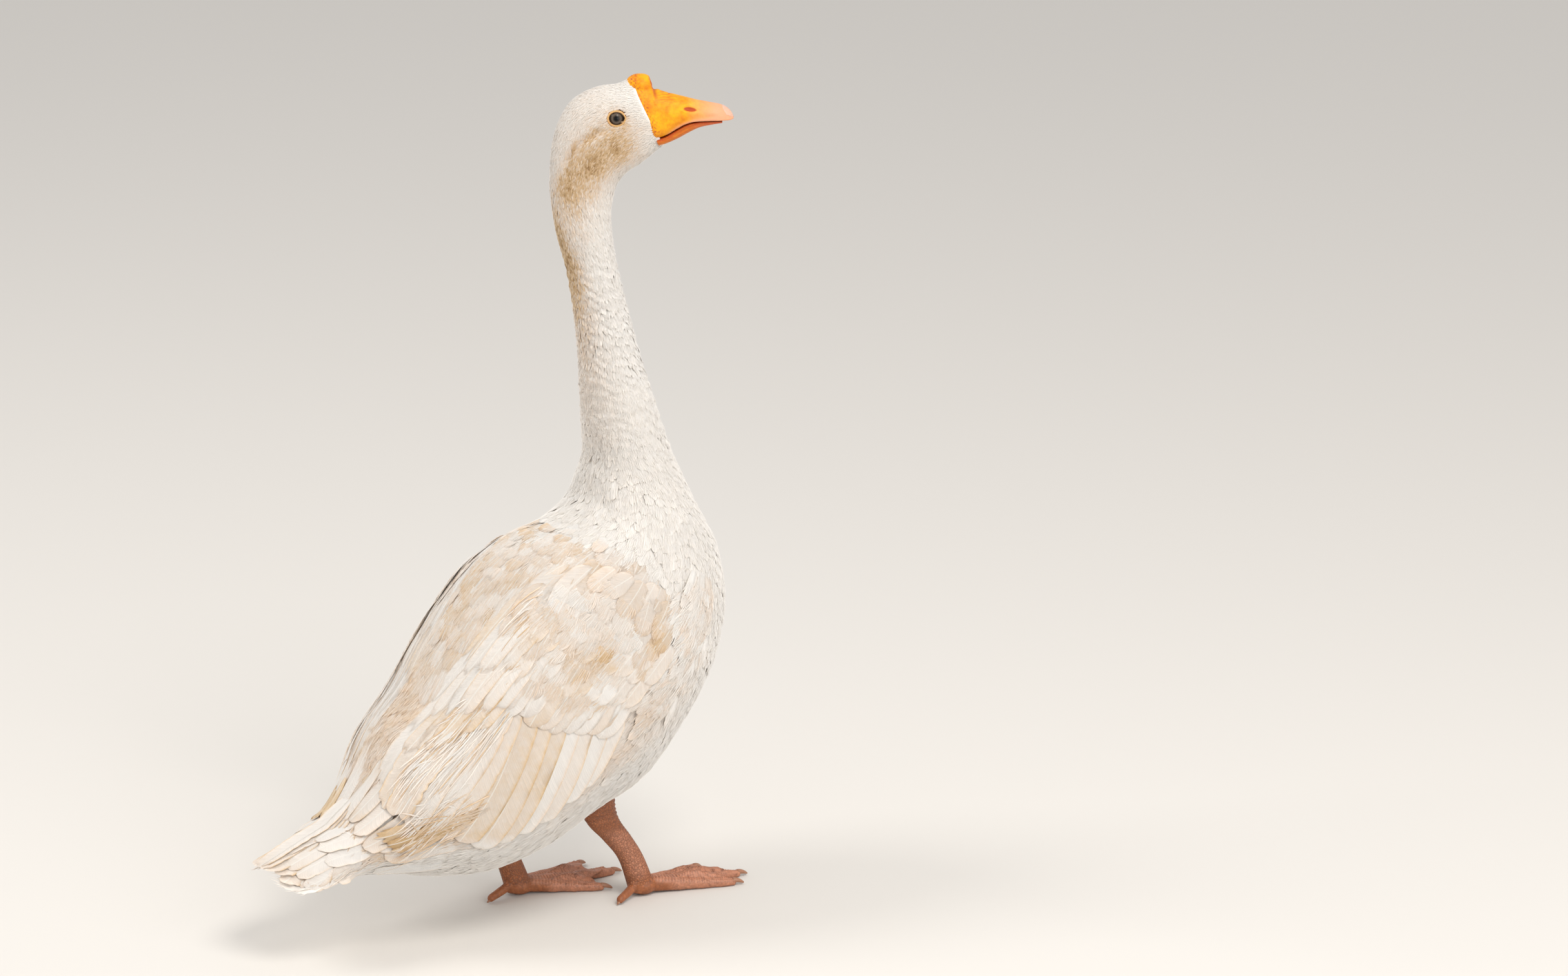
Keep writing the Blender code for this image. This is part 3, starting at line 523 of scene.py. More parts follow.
def stain_at(place, angle):
    """How tan the plumage is: 0.28 over back and wings, 0.1 on the head and 0.03 elsewhere, blended over
    10 mm, and every stain's strength * exp(-distance squared), with distance counted in the stain's own
    reaches. The stains lie alike on both sides."""
    place, angle = alike(place, angle)
    girth = np.abs(girth_at(place, angle))
    edge_places, edge_girths = np.array(CREAM_EDGE).T
    front = np.interp(girth, edge_girths, edge_places)
    foot = np.interp(place, *np.array(CREAM_FOOT).T)
    cream = held((front - place) * 6 + 0.5) * held((foot - girth) / 10 + 0.5)
    total = 0.03 + 0.07 * held((place - 18) / 4) * held((28.5 - place) / 2)
    total = total + 0.25 * cream * (1 - 0.35 * held((5.5 - place) / 2.5))
    for stains, round_ in ((STAINS, girth), (FACE_STAINS, np.abs(angle))):
        for spot, around, reach, breadth, strength in stains:
            total += strength * np.exp(-(((place - spot) / reach) ** 2 + ((round_ - around) / breadth) ** 2))
    return np.maximum(total, 0.01)


# ---------------------------------------------------------------- skin
# The goose's flesh under the feathers: one closed skin from the tail's stump to the bill's root, sunk below
# the plumage by the coat's depth, with a hollow round each eye.

# The folded wing's place on the body's side: section, girth to its upper and to its lower edge.
WING_PLACES, WING_TOPS, WING_FEET = np.array(
    [
        (2.15, 24, 34), (3.0, 24, 72), (3.9, 26, 120), (4.5, 29, 154), (5.4, 32, 176),
        (6.5, 36, 197), (7.6, 40, 193), (8.8, 48, 184), (9.7, 62, 168), (10.35, 92, 136),
    ]
).T
# Section and depth of the flesh below the plumage.
SKIN_DEPTHS = [(-1.0, 5.0), (2.0, 4.5), (4.0, 5.5), (9.0, 6.0), (12.0, 4.0), (14.0, 2.7), (19.0, 1.7)]
SKIN_DEPTHS += [(21.0, 1.3), (24.0, 1.0), (27.0, 0.8), (28.4, 0.7), (29.0, 0.5)]
SKIN_ENDS = 0.2, FACE_END
EYE_DISH, DISH_REACH = 3.6, 15.0
NO_TRIANGLES = np.zeros((0, 3), int)


def coat_depth(place):
    """How deep the skin lies below the plumage's surface, read straight between the listed places."""
    return np.interp(place, *np.array(SKIN_DEPTHS).T)


def mesh_from(name, points, quads, triangles, paint, corners=None, fields=None, normals=None):
    """A mesh object from world points, quads and triangles; corners maps a name to the u, v of every face
    corner, quads first; fields maps a name to one number for every point; normals are the bird's own
    (forward, left, up) shading normals, one for every face corner."""
    mesh = bpy.data.meshes.new(name)
    quads, triangles = np.asarray(quads, int).reshape(-1, 4), np.asarray(triangles, int).reshape(-1, 3)
    loops = np.concatenate([quads.ravel(), triangles.ravel()])
    mesh.vertices.add(len(points))
    mesh.vertices.foreach_set("co", np.asarray(points, np.float32).ravel())
    mesh.loops.add(len(loops))
    mesh.loops.foreach_set("vertex_index", loops.astype(np.int32))
    mesh.polygons.add(len(quads) + len(triangles))
    starts = np.concatenate([np.arange(len(quads)) * 4, len(quads) * 4 + np.arange(len(triangles)) * 3])
    mesh.polygons.foreach_set("loop_start", starts.astype(np.int32))
    for layer, values in (corners or {}).items():
        mesh.uv_layers.new(name=layer).uv.foreach_set("vector", np.asarray(values, np.float32).ravel())
    for field, values in (fields or {}).items():
        layer = mesh.attributes.new(field, "FLOAT", "POINT")
        layer.data.foreach_set("value", np.asarray(values, np.float32).ravel())
    mesh.update(calc_edges=True)
    mesh.polygons.foreach_set("use_smooth", np.ones(len(mesh.polygons), bool))
    if normals is not None:
        mesh.normals_split_custom_set(beside(normals[:, 1], -normals[:, 0], normals[:, 2]))
    mesh.materials.append(paint)
    return linked(name, mesh)


def tube_faces(rings, around):
    """Quads of a closed tube of rings, and the two fans of triangles that close it on two end points, which
    come after the rings' points."""
    i, j = grid(np.arange(rings - 1), np.arange(around))
    k = (j + 1) % around
    quads = beside(i * around + j, i * around + k, (i + 1) * around + k, (i + 1) * around + j)
    j, k, end = j[0], k[0], (rings - 1) * around
    first, last = np.full(around, rings * around), np.full(around, rings * around + 1)
    caps = np.concatenate([beside(first, k, j), beside(last, end + j, end + k)])
    return quads.reshape(-1, 4), caps


def closed_tube(rings):
    """Points and faces of a tube of rings (ring, point, 3) closed by a point in the middle of each end."""
    points = np.concatenate([rings.reshape(-1, 3), rings[[0, -1]].mean(axis=1)])
    return points, *tube_faces(*rings.shape[:2])


def from_wing_edges(place, angle):
    """Millimetres round the body inside the folded wing's upper and lower outlines."""
    girth = np.abs(girth_at(place, angle))
    top, bottom = (np.interp(place, WING_PLACES, edge) for edge in (WING_TOPS, WING_FEET))
    return girth - top, bottom - girth


def wing_bed(place, angle):
    """How far the flesh swells under the folded wing, where no body plumes lie: 4 mm, less by its edge."""
    above, below = from_wing_edges(place, angle)
    deep = np.minimum(np.minimum(above + 90, below), (WING_PLACES[-1] - place) * 30)
    return 4.2 * held((deep - 4) / 16.0) * held((place - 4.6) / 2.0)


flank_line = form(GIRTH_PLACES, np.full(len(GIRTH_PLACES), 1.6))
SKIN_LENGTHS = np.concatenate([[0.0], np.cumsum(np.linalg.norm(np.diff(flank_line, axis=0), axis=1))])


def unwrap(place, angle):
    """The skin laid flat: across by the share of the bird's length along its flank, up by the angle."""
    length = np.interp(place, GIRTH_PLACES, SKIN_LENGTHS) / SKIN_LENGTHS[-1]
    return beside(0.01 + 0.98 * length, 0.5 + 0.98 * np.asarray(angle) / (2 * pi))


eye_centres = {}
for side in ("left", "right"):
    eye_centres[side] = to_bird(np.mean(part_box(f"eye_{side}"), axis=0)) - (0, 0, 1.4)


def sink_eyes(points, normal):
    """Lowers the skin in a soft dish round each eye."""
    for centre in eye_centres.values():
        off = np.linalg.norm(points - centre, axis=-1)
        share = held((DISH_REACH - off) / 8.0)
        points = points - normal * (EYE_DISH * share**2 * (3 - 2 * share))[..., None]
    return points


places = np.linspace(*SKIN_ENDS, 250)
angles = np.linspace(-pi, pi, 145)
skin_place, skin_angle = grid(places, angles[:-1])
surface, normal, *_ = form_frame(skin_place, skin_angle)
depth = coat_depth(skin_place) - wing_bed(skin_place, skin_angle)
points, quads, caps = closed_tube(sink_eyes(surface - normal * depth[..., None], normal))
skin_stain = stain_at(skin_place, skin_angle)
flat = unwrap(*grid(places, angles))
i, j = grid(np.arange(len(places) - 1), np.arange(len(angles) - 1))
maps = [np.stack([flat[i, j], flat[i, j + 1], flat[i + 1, j + 1], flat[i + 1, j]], axis=-2).reshape(-1, 2)]
j = j[0]
for row, near, far in ((0, j + 1, j), (-1, j, j + 1)):
    middle = np.repeat(flat[row].mean(axis=0)[None], len(j), axis=0)
    maps.append(np.stack([middle, flat[row, near], flat[row, far]], axis=-2).reshape(-1, 2))
stain = np.concatenate([skin_stain.ravel(), skin_stain[[0, -1]].mean(axis=1)])
skin = mesh_from(
    "skin", to_world(points), quads, caps, down_paint,
    corners={"OFBake": np.concatenate(maps)}, fields={"stain": stain, "tone": np.full(stain.shape, 0.35)},
)
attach(skin, "root")
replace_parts(skin, "trunk", "neck_lower", "neck_upper", "head")

# ---------------------------------------------------------------- body plumage
# A goose's body feathers are soft contour feathers that overlap like tiles and lie towards the tail. Each
# has a rounded vane, and loose barbs that fan over its end and hide its edge; the smallest are on the face.


def spread_roots(spacing, low, high, crowding, seed):
    """Roots spread evenly between two sections: a low-discrepancy sequence carried through the running sums
    of area * crowding, first along the bird and then round it, one root for each spacing squared."""
    place_steps, angle_steps = np.linspace(low, high, 181), np.linspace(-pi, pi, 241)
    middle_places = (place_steps[1:] + place_steps[:-1]) / 2
    middle_angles = (angle_steps[1:] + angle_steps[:-1]) / 2
    middles = grid(middle_places, middle_angles)
    *_, per_section, per_radian = form_frame(*middles)
    cell = (place_steps[1] - place_steps[0]) * (angle_steps[1] - angle_steps[0])
    area = per_section * per_radian * cell * crowding(*middles)
    count = int(area.sum() / spacing**2)
    number = np.arange(count) + 0.5
    luck = default_rng(seed)
    first = (number * 0.7548776662 + 0.1 / sqrt(count) * luck.normal(size=count)) % 1.0
    second = (number * 0.569840291 + 0.1 / sqrt(count) * luck.normal(size=count)) % 1.0
    along = np.concatenate([[0.0], area.sum(axis=1).cumsum()]) / area.sum()
    place = np.interp(first, along, place_steps)
    row = np.clip(np.searchsorted(place_steps, place) - 1, 0, len(middle_places) - 1)
    angle = np.zeros(count)
    for number in np.unique(row):
        chosen = row == number
        around = np.concatenate([[0.0], area[number].cumsum()]) / max(area[number].sum(), 1e-9)
        angle[chosen] = np.interp(second[chosen], around, angle_steps)
    return place, angle


def feather_lines(place, angle, length, swing, steps, heights):
    """Middle line of each feather: from its root it runs tailwards over the form, swung to the left by
    swing, heights above the form at each step. Gives points, normals, ways, leftward vectors and stains."""
    *_, per_section, per_radian = form_frame(place, angle)
    back, left = np.cos(swing) * length, np.sin(swing) * length
    half = place - 0.5 * back / per_section, angle + 0.5 * left / per_radian
    *_, per_section, per_radian = form_frame(*half)
    along = place[:, None] - (back / per_section)[:, None] * steps
    round_ = angle[:, None] + (left / per_radian)[:, None] * steps
    surface, normal, *_ = form_frame(np.clip(along, -4.9, FACE_END), round_)
    line = surface + normal * np.asarray(heights)[..., None]
    way = unit(np.gradient(line, axis=1))
    return line, normal, way, unit(np.cross(way, normal)), stain_at(along, round_)


def blades(lines, normals, lefts, half_widths, thick):
    """Thin closed blades: a triangle of left edge, ridge and right edge is carried along each line and runs
    out to a point at its last place. They shade as part of the coat: each point's normal is the form's own,
    leaning a little to its edge. Returns points (blade, 3 per ring + 1, 3), normals, quads and triangles."""
    rings = lines.shape[1] - 1
    middle, out, side = lines[:, :rings], normals[:, :rings], lefts[:, :rings] * half_widths[..., None]
    lift = np.asarray(thick)[..., None] * out
    body = np.stack([middle - side, middle + lift, middle + side], axis=2).reshape(len(lines), -1, 3)
    points = np.concatenate([body, lines[:, -1:]], axis=1)
    edge = 0.35 * lefts[:, :rings]
    shaded = np.stack([out - edge, out, out + edge], axis=2).reshape(len(lines), -1, 3)
    shaded = unit(np.concatenate([shaded, normals[:, -1:]], axis=1))
    r = np.arange(rings - 1)[:, None] * 3
    quads = np.stack([r + a for a in ((0, 1, 4, 3), (1, 2, 5, 4), (2, 0, 3, 5))], axis=1).reshape(-1, 4)
    last, tip = 3 * (rings - 1), 3 * rings
    ends = np.array([(last, last + 1, tip), (last + 1, last + 2, tip), (last + 2, last, tip), (0, 2, 1)])
    return points, shaded, quads, ends


def face_directions(points, faces):
    """Each face's own direction, repeated for its corners."""
    corners = points[faces]
    across = np.cross(corners[:, 2] - corners[:, 0], corners[:, -1] - corners[:, 1])
    return np.repeat(unit(across)[:, None], faces.shape[1], axis=1)


class Coat:
    """Gathers the blades of a piece of plumage, and makes it."""

    def __init__(self):
        self.points, self.normals, self.quads, self.ends, self.flat, self.fields = [], [], [], [], [], []
        self.count = 0

    def add(self, lines, normals, lefts, half_widths, thick, steps, root_map, stain, tone):
        points, shaded, quads, ends = blades(lines, normals, lefts, half_widths, thick)
        number, size = points.shape[:2]
        shift = self.count + np.arange(number)[:, None, None] * size
        self.points.append(points.reshape(-1, 3))
        self.normals.append(shaded.reshape(-1, 3))
        self.quads.append((quads[None] + shift).reshape(-1, 4))
        self.ends.append((ends[None] + shift).reshape(-1, 3))
        along = np.concatenate([np.repeat(steps[:-1], 3), steps[-1:]])
        aside = np.concatenate([np.tile((0.0, 0.5, 1.0), len(steps) - 1), (0.5,)])
        patch = (beside(along, aside) - 0.5) * 0.003
        self.flat.append((root_map[:, None] + patch[None]).reshape(-1, 2))
        stained = stain[:, None] * (0.75 + 0.5 * along)
        self.fields.append(beside(stained, tone[:, None]).reshape(-1, 2))
        self.count += number * size

    def corner_normals(self, quads, ends):
        """Upper faces take their points' normals, undersides their own, so that no edge turns black."""
        normals, points = np.concatenate(self.normals), np.concatenate(self.points)
        upper = (np.arange(len(quads)) % 3 != 2)[:, None, None]
        outer = (np.arange(len(ends)) % 4 < 2)[:, None, None]
        quads = np.where(upper, normals[quads], face_directions(points, quads))
        ends = np.where(outer, normals[ends], face_directions(points, ends))
        return np.concatenate([quads.reshape(-1, 3), ends.reshape(-1, 3)])

    def make(self, name, paint):
        stain, tone = np.concatenate(self.fields).T
        quads, ends = np.concatenate(self.quads), np.concatenate(self.ends)
        flat = np.concatenate(self.flat)[np.concatenate([quads.ravel(), ends.ravel()])]
        piece = mesh_from(
            name, to_world(np.concatenate(self.points)), quads, ends, paint, corners={"OFBake": flat},
            fields={"stain": stain, "tone": tone}, normals=self.corner_normals(quads, ends),
        )
        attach(piece, "root")


VANE_STEPS = np.array([0.0, 0.3, 0.55, 0.8, 0.94, 1.0])
VANE_WIDTHS = np.array([0.3, 0.85, 1.0, 0.88, 0.5])
BARB_STEPS = np.array([0.66, 0.86, 1.0])
BARB_SPREAD, BARB_ONWARD = np.array([0.8, 0.96, 1.04]), np.array([0.15, 0.6, 1.0])


def fringe(coat, lines, length, half_width, barbs, barb_width, shag, curl, roots, stain, tone, luck):
    """Loose barbs at the ends of feathers: they start beside the middle line inside the vane, fan out, end
    at a rounded outline with a random part of shag times the length, and wave sideways by curl. lines holds
    the points, normals, ways and leftward vectors at BARB_STEPS."""
    line, normal, way, left = lines
    count = len(line)
    fan = np.linspace(-1, 1, barbs) + luck.uniform(-0.5, 0.5, (count, barbs)) * 1.6 / barbs
    reach = 0.05 - 0.24 * np.abs(fan) ** 2.2 + luck.normal(0, shag, (count, barbs))
    wave = curl * np.sin(luck.uniform(0, 6.28, (count, 1, 1)) + np.arange(3) * 1.9 + fan[..., None])
    aside = (fan[..., None] * BARB_SPREAD + wave) * half_width[:, None, None]
    onward = reach[..., None] * BARB_ONWARD * length[:, None, None]
    rise = 0.25 + luck.uniform(-0.2, 0.25, (count, barbs, 1)) * np.array([0.3, 0.9, 1.1])
    rise = rise - 0.08 * np.abs(aside) * np.abs(fan[..., None])
    shape = (count, barbs, 3, 3)
    points = line[:, None] + left[:, None] * aside[..., None] + way[:, None] * onward[..., None]
    points = points + normal[:, None] * rise[..., None]
    vectors = [np.broadcast_to(v[:, None], shape).reshape(-1, 3, 3) for v in (normal, left)]
    widths = barb_width * luck.uniform(0.7, 1.2, (count, barbs, 1)) * np.array([1.0, 0.85])
    total = count * barbs
    coat.add(
        points.reshape(-1, 3, 3), *vectors, widths.reshape(-1, 2), np.full((total, 2), 0.3), BARB_STEPS,
        np.repeat(roots, barbs, axis=0) + luck.uniform(-0.004, 0.004, (total, 2)),
        np.repeat(stain, barbs) * luck.uniform(0.8, 1.25, total),
        held(np.repeat(tone, barbs) * 0.75 + luck.uniform(0, 0.3, total)),
    )


def contour_feathers(
    coat, place, angle, length, half_width, swing, depth, barbs, barb_width, seed,
    lift=0.0, curl=0.0, shag=0.1, stain=None,
):
    """Lays feathers on the form. The vane rises from the skin by depth * (1 - step) ** 1.7 and ends at the
    form plus lift; loose barbs fringe its end."""
    luck = default_rng(seed)
    count = len(place)
    stain = stain_at(place, angle) if stain is None else stain
    tone = luck.uniform(0, 1, count)
    sunk = (luck.uniform(-0.5, 0.3, count) + lift)[:, None]
    roots = unwrap(place, angle)
    heights = sunk - depth[:, None] * (1 - VANE_STEPS) ** 1.7 - 0.4
    line, normal, _way, left, _ = feather_lines(place, angle, length, swing, VANE_STEPS, heights)
    widths = half_width[:, None] * VANE_WIDTHS
    coat.add(line, normal, left, widths, np.full(widths.shape, 0.4), VANE_STEPS, roots, stain, tone)
    heights = sunk - depth[:, None] * (1 - BARB_STEPS) ** 1.7 - 0.15
    *lines, _ = feather_lines(place, angle, length, swing, BARB_STEPS, heights)
    fringe(coat, lines, length, half_width, barbs, barb_width, shag, curl, roots, stain, tone, luck)


EYE_CLEARANCE = 9.3


def free_of_eyes(place, angle, length):
    """False where a feather's root or end would lie on an eye or its lids."""
    *_, per_section, _ = form_frame(place, angle)
    keep = np.ones(len(place), bool)
    for share in (0.0, 0.5, 1.0):
        spot = form(place - share * length / per_section, angle)
        for centre in eye_centres.values():
            keep &= np.linalg.norm(spot - centre, axis=-1) > EYE_CLEARANCE
    return keep


def inside_wing(place, angle, margin):
    """True more than margin millimetres inside the folded wing's outline."""
    above, below = from_wing_edges(place, angle)
    inside = (place > WING_PLACES[0]) & (place < WING_PLACES[-1])
    return inside & (above > margin) & (below > margin)


def over_wing(place, angle):
    """How far the folded wing lifts the plumage over it: 3 mm, fading over 14 mm at its edge."""
    deep = np.minimum(np.minimum(*from_wing_edges(place, angle)), (WING_PLACES[-1] - place) * 40)
    return 3.0 * held(deep / 14.0)


def wing_share(place, angle):
    """How far the body's own plumage climbs over the folded wing: fully in front, not at all behind."""
    return over_wing(place, angle) * held((place - 7.7) / 0.6)


def crowd_body(place, angle):
    """Crowding of the body's feathers: none deep under the folded wing, but some along its edges, and none
    over the bare tail quills."""
    bare = place < np.where(np.cos(angle) > -0.25, 2.9, -0.6)
    covered = (np.abs(girth_at(place, angle)) < 120) & (place > 6.4) & (place < 9.5)
    return np.where(inside_wing(place, angle, 20.0) | bare | covered, 0.0, 1.0)


# Each stretch: name, from and to section, spacing, length, half width, barbs, barb half width, curl, shag.
STRETCHES = [
    ("plumes_rump", -0.8, 4.0, 6.4, 34.0, 6.6, 10, 0.6, 0.12, 0.1),
    ("plumes_belly", 4.0, 7.6, 6.7, 36.0, 7.8, 10, 0.66, 0.12, 0.1),
    ("plumes_flanks", 7.6, 10.2, 6.1, 32.0, 7.2, 10, 0.6, 0.1, 0.09),
    ("plumes_breast", 10.2, 12.8, 5.25, 23.0, 5.2, 8, 0.5, 0.05, 0.08),
    ("plumes_neck_root", 12.8, 15.6, 3.62, 17.0, 3.6, 6, 0.42, 0.05, 0.09),
]
for number, (name, low, high, spacing, reach, half, barbs, barb, curl, shag) in enumerate(STRETCHES):
    place, angle = spread_roots(spacing, low, high, crowd_body, 10 + number)
    luck = default_rng(40 + number)
    size = luck.uniform(0.85, 1.15, len(place))
    coat, lift = Coat(), wing_share(place, angle)
    contour_feathers(
        coat, place, angle, reach * size, half * size, luck.normal(0, 0.12, len(place)),
        coat_depth(place) + lift, barbs, barb, 60 + number, lift=lift, curl=curl, shag=shag,
    )
    coat.make(name, down_paint)


# Lengths and half widths of neck and face tufts, by section.
TUFT_LENGTHS = (13.0, 16.0, 20.0, 21.5, 24.0, 27.5, 29.0), (14.0, 11.0, 8.5, 7.5, 5.8, 4.6, 3.2)
TUFT_HALVES = (13.0, 16.0, 20.0, 22.0, 27.5, 29.0), (1.6, 1.4, 1.1, 0.85, 0.66, 0.42)


def short_plumes(name, spacing, low, high, seed, rows=None):
    """Short single blades: tufts too small to show a vane, in ruffled rows across the neck where rows gives
    their distance."""
    place, angle = spread_roots(spacing, low, high, lambda p, a: np.ones(p.shape), seed)
    luck = default_rng(seed + 1)
    if rows:
        *_, per_section, _ = form_frame(place, np.full(len(place), 1.57))
        wave = 0.25 * np.sin(angle * 5 + place * 3) + 0.2 * np.sin(angle * 13 + place * 7)
        row = place * per_section.mean() / rows
        share = held((19.3 - place) / 2.5) * held((place - 13.2) / 1.2)
        snapped = (np.round(row + wave) - wave) * rows / per_section.mean()
        place = place + (snapped - place) * 0.8 * share
    keep = (place > low) & (place < high)
    place, angle = place[keep], angle[keep]
    length = np.interp(place, *TUFT_LENGTHS) * luck.uniform(0.8, 1.2, len(place))
    keep = free_of_eyes(place, angle, length)
    place, angle, length = place[keep], angle[keep], length[keep]
    width = np.interp(place, *TUFT_HALVES) * luck.uniform(0.75, 1.2, len(place))
    steps = np.array([0.0, 0.5, 0.82, 1.0])
    sunk = luck.uniform(-0.4, 0.05, len(place)) * np.clip(width, 0.3, 0.8)
    heights = sunk[:, None] - coat_depth(place)[:, None] * (1 - steps) ** 1.7
    swing = luck.normal(0, 0.16, len(place))
    line, normal, _way, left, _ = feather_lines(place, angle, length, swing, steps, heights)
    widths = width[:, None] * np.array([0.9, 1.0, 0.7])
    coat = Coat()
    tone = luck.uniform(0, 1, len(place))
    stain = stain_at(place, angle) * luck.uniform(0.7, 1.4, len(place))
    coat.add(line, normal, left, widths, 0.3 * widths, steps, unwrap(place, angle), stain, tone)
    coat.make(name, down_paint)


short_plumes("plumes_neck_low", 2.25, 14.4, 17.2, 70, rows=6.5)
short_plumes("plumes_neck_high", 1.75, 17.2, 21.0, 72, rows=5.5)
short_plumes("plumes_head", 1.22, 21.0, 28.93, 74)


# ---------------------------------------------------------------- vanes
# A quill is a stiff shaft with a vane of barbs on each side, hardly thicker than paper. Its vane is cupped,
# its end is rounded, and wear splits it along the barbs.


def with_inner(values):
    """A grid (piece, row, column, ...) and then its inner part, laid end to end for each piece."""
    parts = (values, values[:, 1:-1, 1:-1])
    return np.concatenate([part.reshape(len(part), -1, *part.shape[3:]) for part in parts], axis=1)


def sheets(top, thick, normals, flip):
    """Closed thin solids from grids of top points (vane, row, column, 3): a lower sheet lies thick below the
    inner points, both share the border, and their faces split along the same diagonals. Returns points,
    shading normals and quads."""
    rows, columns = top.shape[1:3]
    count = rows * columns
    points = with_inner(top)
    points[:, count:] -= with_inner(normals)[:, count:] * thick
    upper_index = np.arange(count).reshape(rows, columns)
    lower_index = upper_index.copy()
    lower_index[1:-1, 1:-1] = count + np.arange((rows - 2) * (columns - 2)).reshape(rows - 2, -1)
    quads = []
    for index, order in ((upper_index, (0, 1, 2, 3)), (lower_index, (0, 3, 2, 1))):
        corners = (index[:-1, :-1], index[:-1, 1:], index[1:, 1:], index[1:, :-1])
        quads.append(np.stack([corners[k] for k in (order[::-1] if flip else order)], axis=-1).reshape(-1, 4))
    return points, with_inner(normals), np.concatenate(quads)


class Vanes:
    """Gathers the vanes of a piece, and makes it."""

    def __init__(self):
        self.points, self.normals, self.quads, self.flat, self.own, self.fields = [], [], [], [], [], []
        self.faces_up, self.count = [], 0

    def add(
        self, line, normal, across, half, stain, tone, roots, seed, columns=7, round_end=0.5, wear=0.0,
        camber=0.08, tilt=0.0, shaft=-0.15, edge_stain=0.0, tip_stain=0.0, thick=0.35, flip=False, ragged=0.0,
    ):
        """Vanes along their lines (vane, row, 3), half as wide as half (vane, 1): the middle line + across *
        half width * column - way * roundness * column ** 2.4 near the end, cupped by camber * half * column
        squared, tilted so that the lower edge stands up by tilt, with a raised shaft and random nicks."""
        luck = default_rng(seed)
        number, rows = line.shape[:2]
        steps = np.linspace(0, 1, rows)
        column = np.sin(np.linspace(-1, 1, columns) * pi / 2)
        step, broad = steps[None, :, None], half[:, None, None]
        way = unit(np.gradient(line, axis=1))
        narrow = 0.3 + 0.7 * held(steps / 0.22) ** 0.6
        end = 1 - 0.1 * held((steps - 0.7) / 0.3) ** 2
        width = half[:, None] * (narrow * end)[None]
        nicks = luck.uniform(0, 1, (number, rows, 2)) < wear
        nicks = nicks * luck.uniform(0.03, 0.16, (number, rows, 2)) * (step > 0.3)
        nicks[:, -1] = 0
        inset = 1 - nicks[..., np.where(column < 0, 0, 1)] * held((np.abs(column) - 0.5) / 0.5)
        aside = width[..., None] * (column * inset + shaft * (1 - column**2) * 0.5)
        back = round_end * broad * np.abs(column) ** 2.4 * step**2
        tatter = luck.normal(0, 1, (number, 1, columns)) * ragged * broad * step**8
        height = tilt * aside - camber * aside**2 / broad + 0.35 * hump(column, 0.12)
        ripple = np.sin(luck.uniform(0, 6.28, (number, 1, 1)) + step * 9 + column * 2)
        height = height + 0.35 * ripple * np.abs(column) * held(step * 2)
        top = line[:, :, None] + across[:, :, None] * aside[..., None]
        top = top - way[:, :, None] * (back + tatter)[..., None] + normal[:, :, None] * height[..., None]
        turned_out = unit(np.cross(np.gradient(top, axis=2), np.gradient(top, axis=1)))
        turned_out *= np.sign((turned_out * normal[:, :, None]).sum(axis=-1, keepdims=True))
        turned_out = unit(turned_out + 0.35 * normal[:, :, None])
        points, shaded, quads = sheets(top, thick, turned_out, flip)
        shift = self.count + np.arange(number)[:, None, None] * points.shape[1]
        self.points.append(points.reshape(-1, 3))
        self.normals.append(shaded.reshape(-1, 3))
        self.quads.append((quads[None] + shift).reshape(-1, 4))
        self.faces_up.append(np.tile(np.repeat((True, False), len(quads) // 2), number))
        length = np.linalg.norm(line[:, -1] - line[:, 0], axis=-1)[:, None, None]
        own = beside(aside * MM, step * length * MM)
        patch = beside(steps[:, None] - 0.5, column / 2) * 0.003
        self.own.append(with_inner(own).reshape(-1, 2))
        self.flat.append(with_inner(roots[:, None, None] + patch[None]).reshape(-1, 2))
        tan = stain.reshape(number, -1, 1) + edge_stain * np.abs(column) ** 12 + tip_stain * step**4
        fields = beside(tan, tone[:, None, None])
        self.fields.append(with_inner(fields).reshape(-1, 2))
        self.count += number * points.shape[1]

    def make(self, name, paint):
        quads, points = np.concatenate(self.quads), np.concatenate(self.points)
        loops = quads.ravel()
        upper = np.concatenate(self.faces_up)[:, None, None]
        normals = np.where(upper, np.concatenate(self.normals)[quads], face_directions(points, quads))
        stain, tone = np.concatenate(self.fields).T
        piece = mesh_from(
            name, to_world(points), quads, NO_TRIANGLES, paint,
            corners={"vane": np.concatenate(self.own)[loops], "OFBake": np.concatenate(self.flat)[loops]},
            fields={"stain": stain, "tone": tone}, normals=normals.reshape(-1, 3),
        )
        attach(piece, "root")
        return piece


def chart_lines(table, side, rows, shake, seed):
    """Lines over the body's side from a table of (root section, root girth, end section, end girth, lift at
    the root, lift at the end, bend in mm): straight in section and girth, bowed by bend * sine, and drooping
    1.3 mm over their last quarter so that each tip lies on the feather below."""
    luck = default_rng(seed)
    table = np.array(table, float)
    table[:, (1, 3)] += luck.normal(0, shake, (len(table), 2))
    table[:, 2] += luck.normal(0, shake * 0.02, len(table))
    steps = np.linspace(0, 1, rows)
    t0, g0, t1, g1, lift0, lift1, bend = (column[:, None] for column in table[:, :7].T)
    place = t0 + (t1 - t0) * steps
    girth = g0 + (g1 - g0) * steps + bend * np.sin(pi * steps)
    angle = angle_at(place, girth * side)
    surface, normal, *_ = form_frame(place, angle)
    droop = held((steps - 0.72) / 0.28) ** 2
    line = surface + normal * (lift0 + (lift1 - lift0) * steps - 1.3 * droop)[..., None]
    way = unit(np.gradient(line, axis=1))
    across = unit(np.cross(way, normal)) * side
    return line, normal, across, place, angle


# ---------------------------------------------------------------- folded wings
# Each wing lies folded along the flank. From below upwards come the primaries, seven secondaries that end in
# a step along its lower edge, the long tertials over them, and coverts and scapulars over their roots.

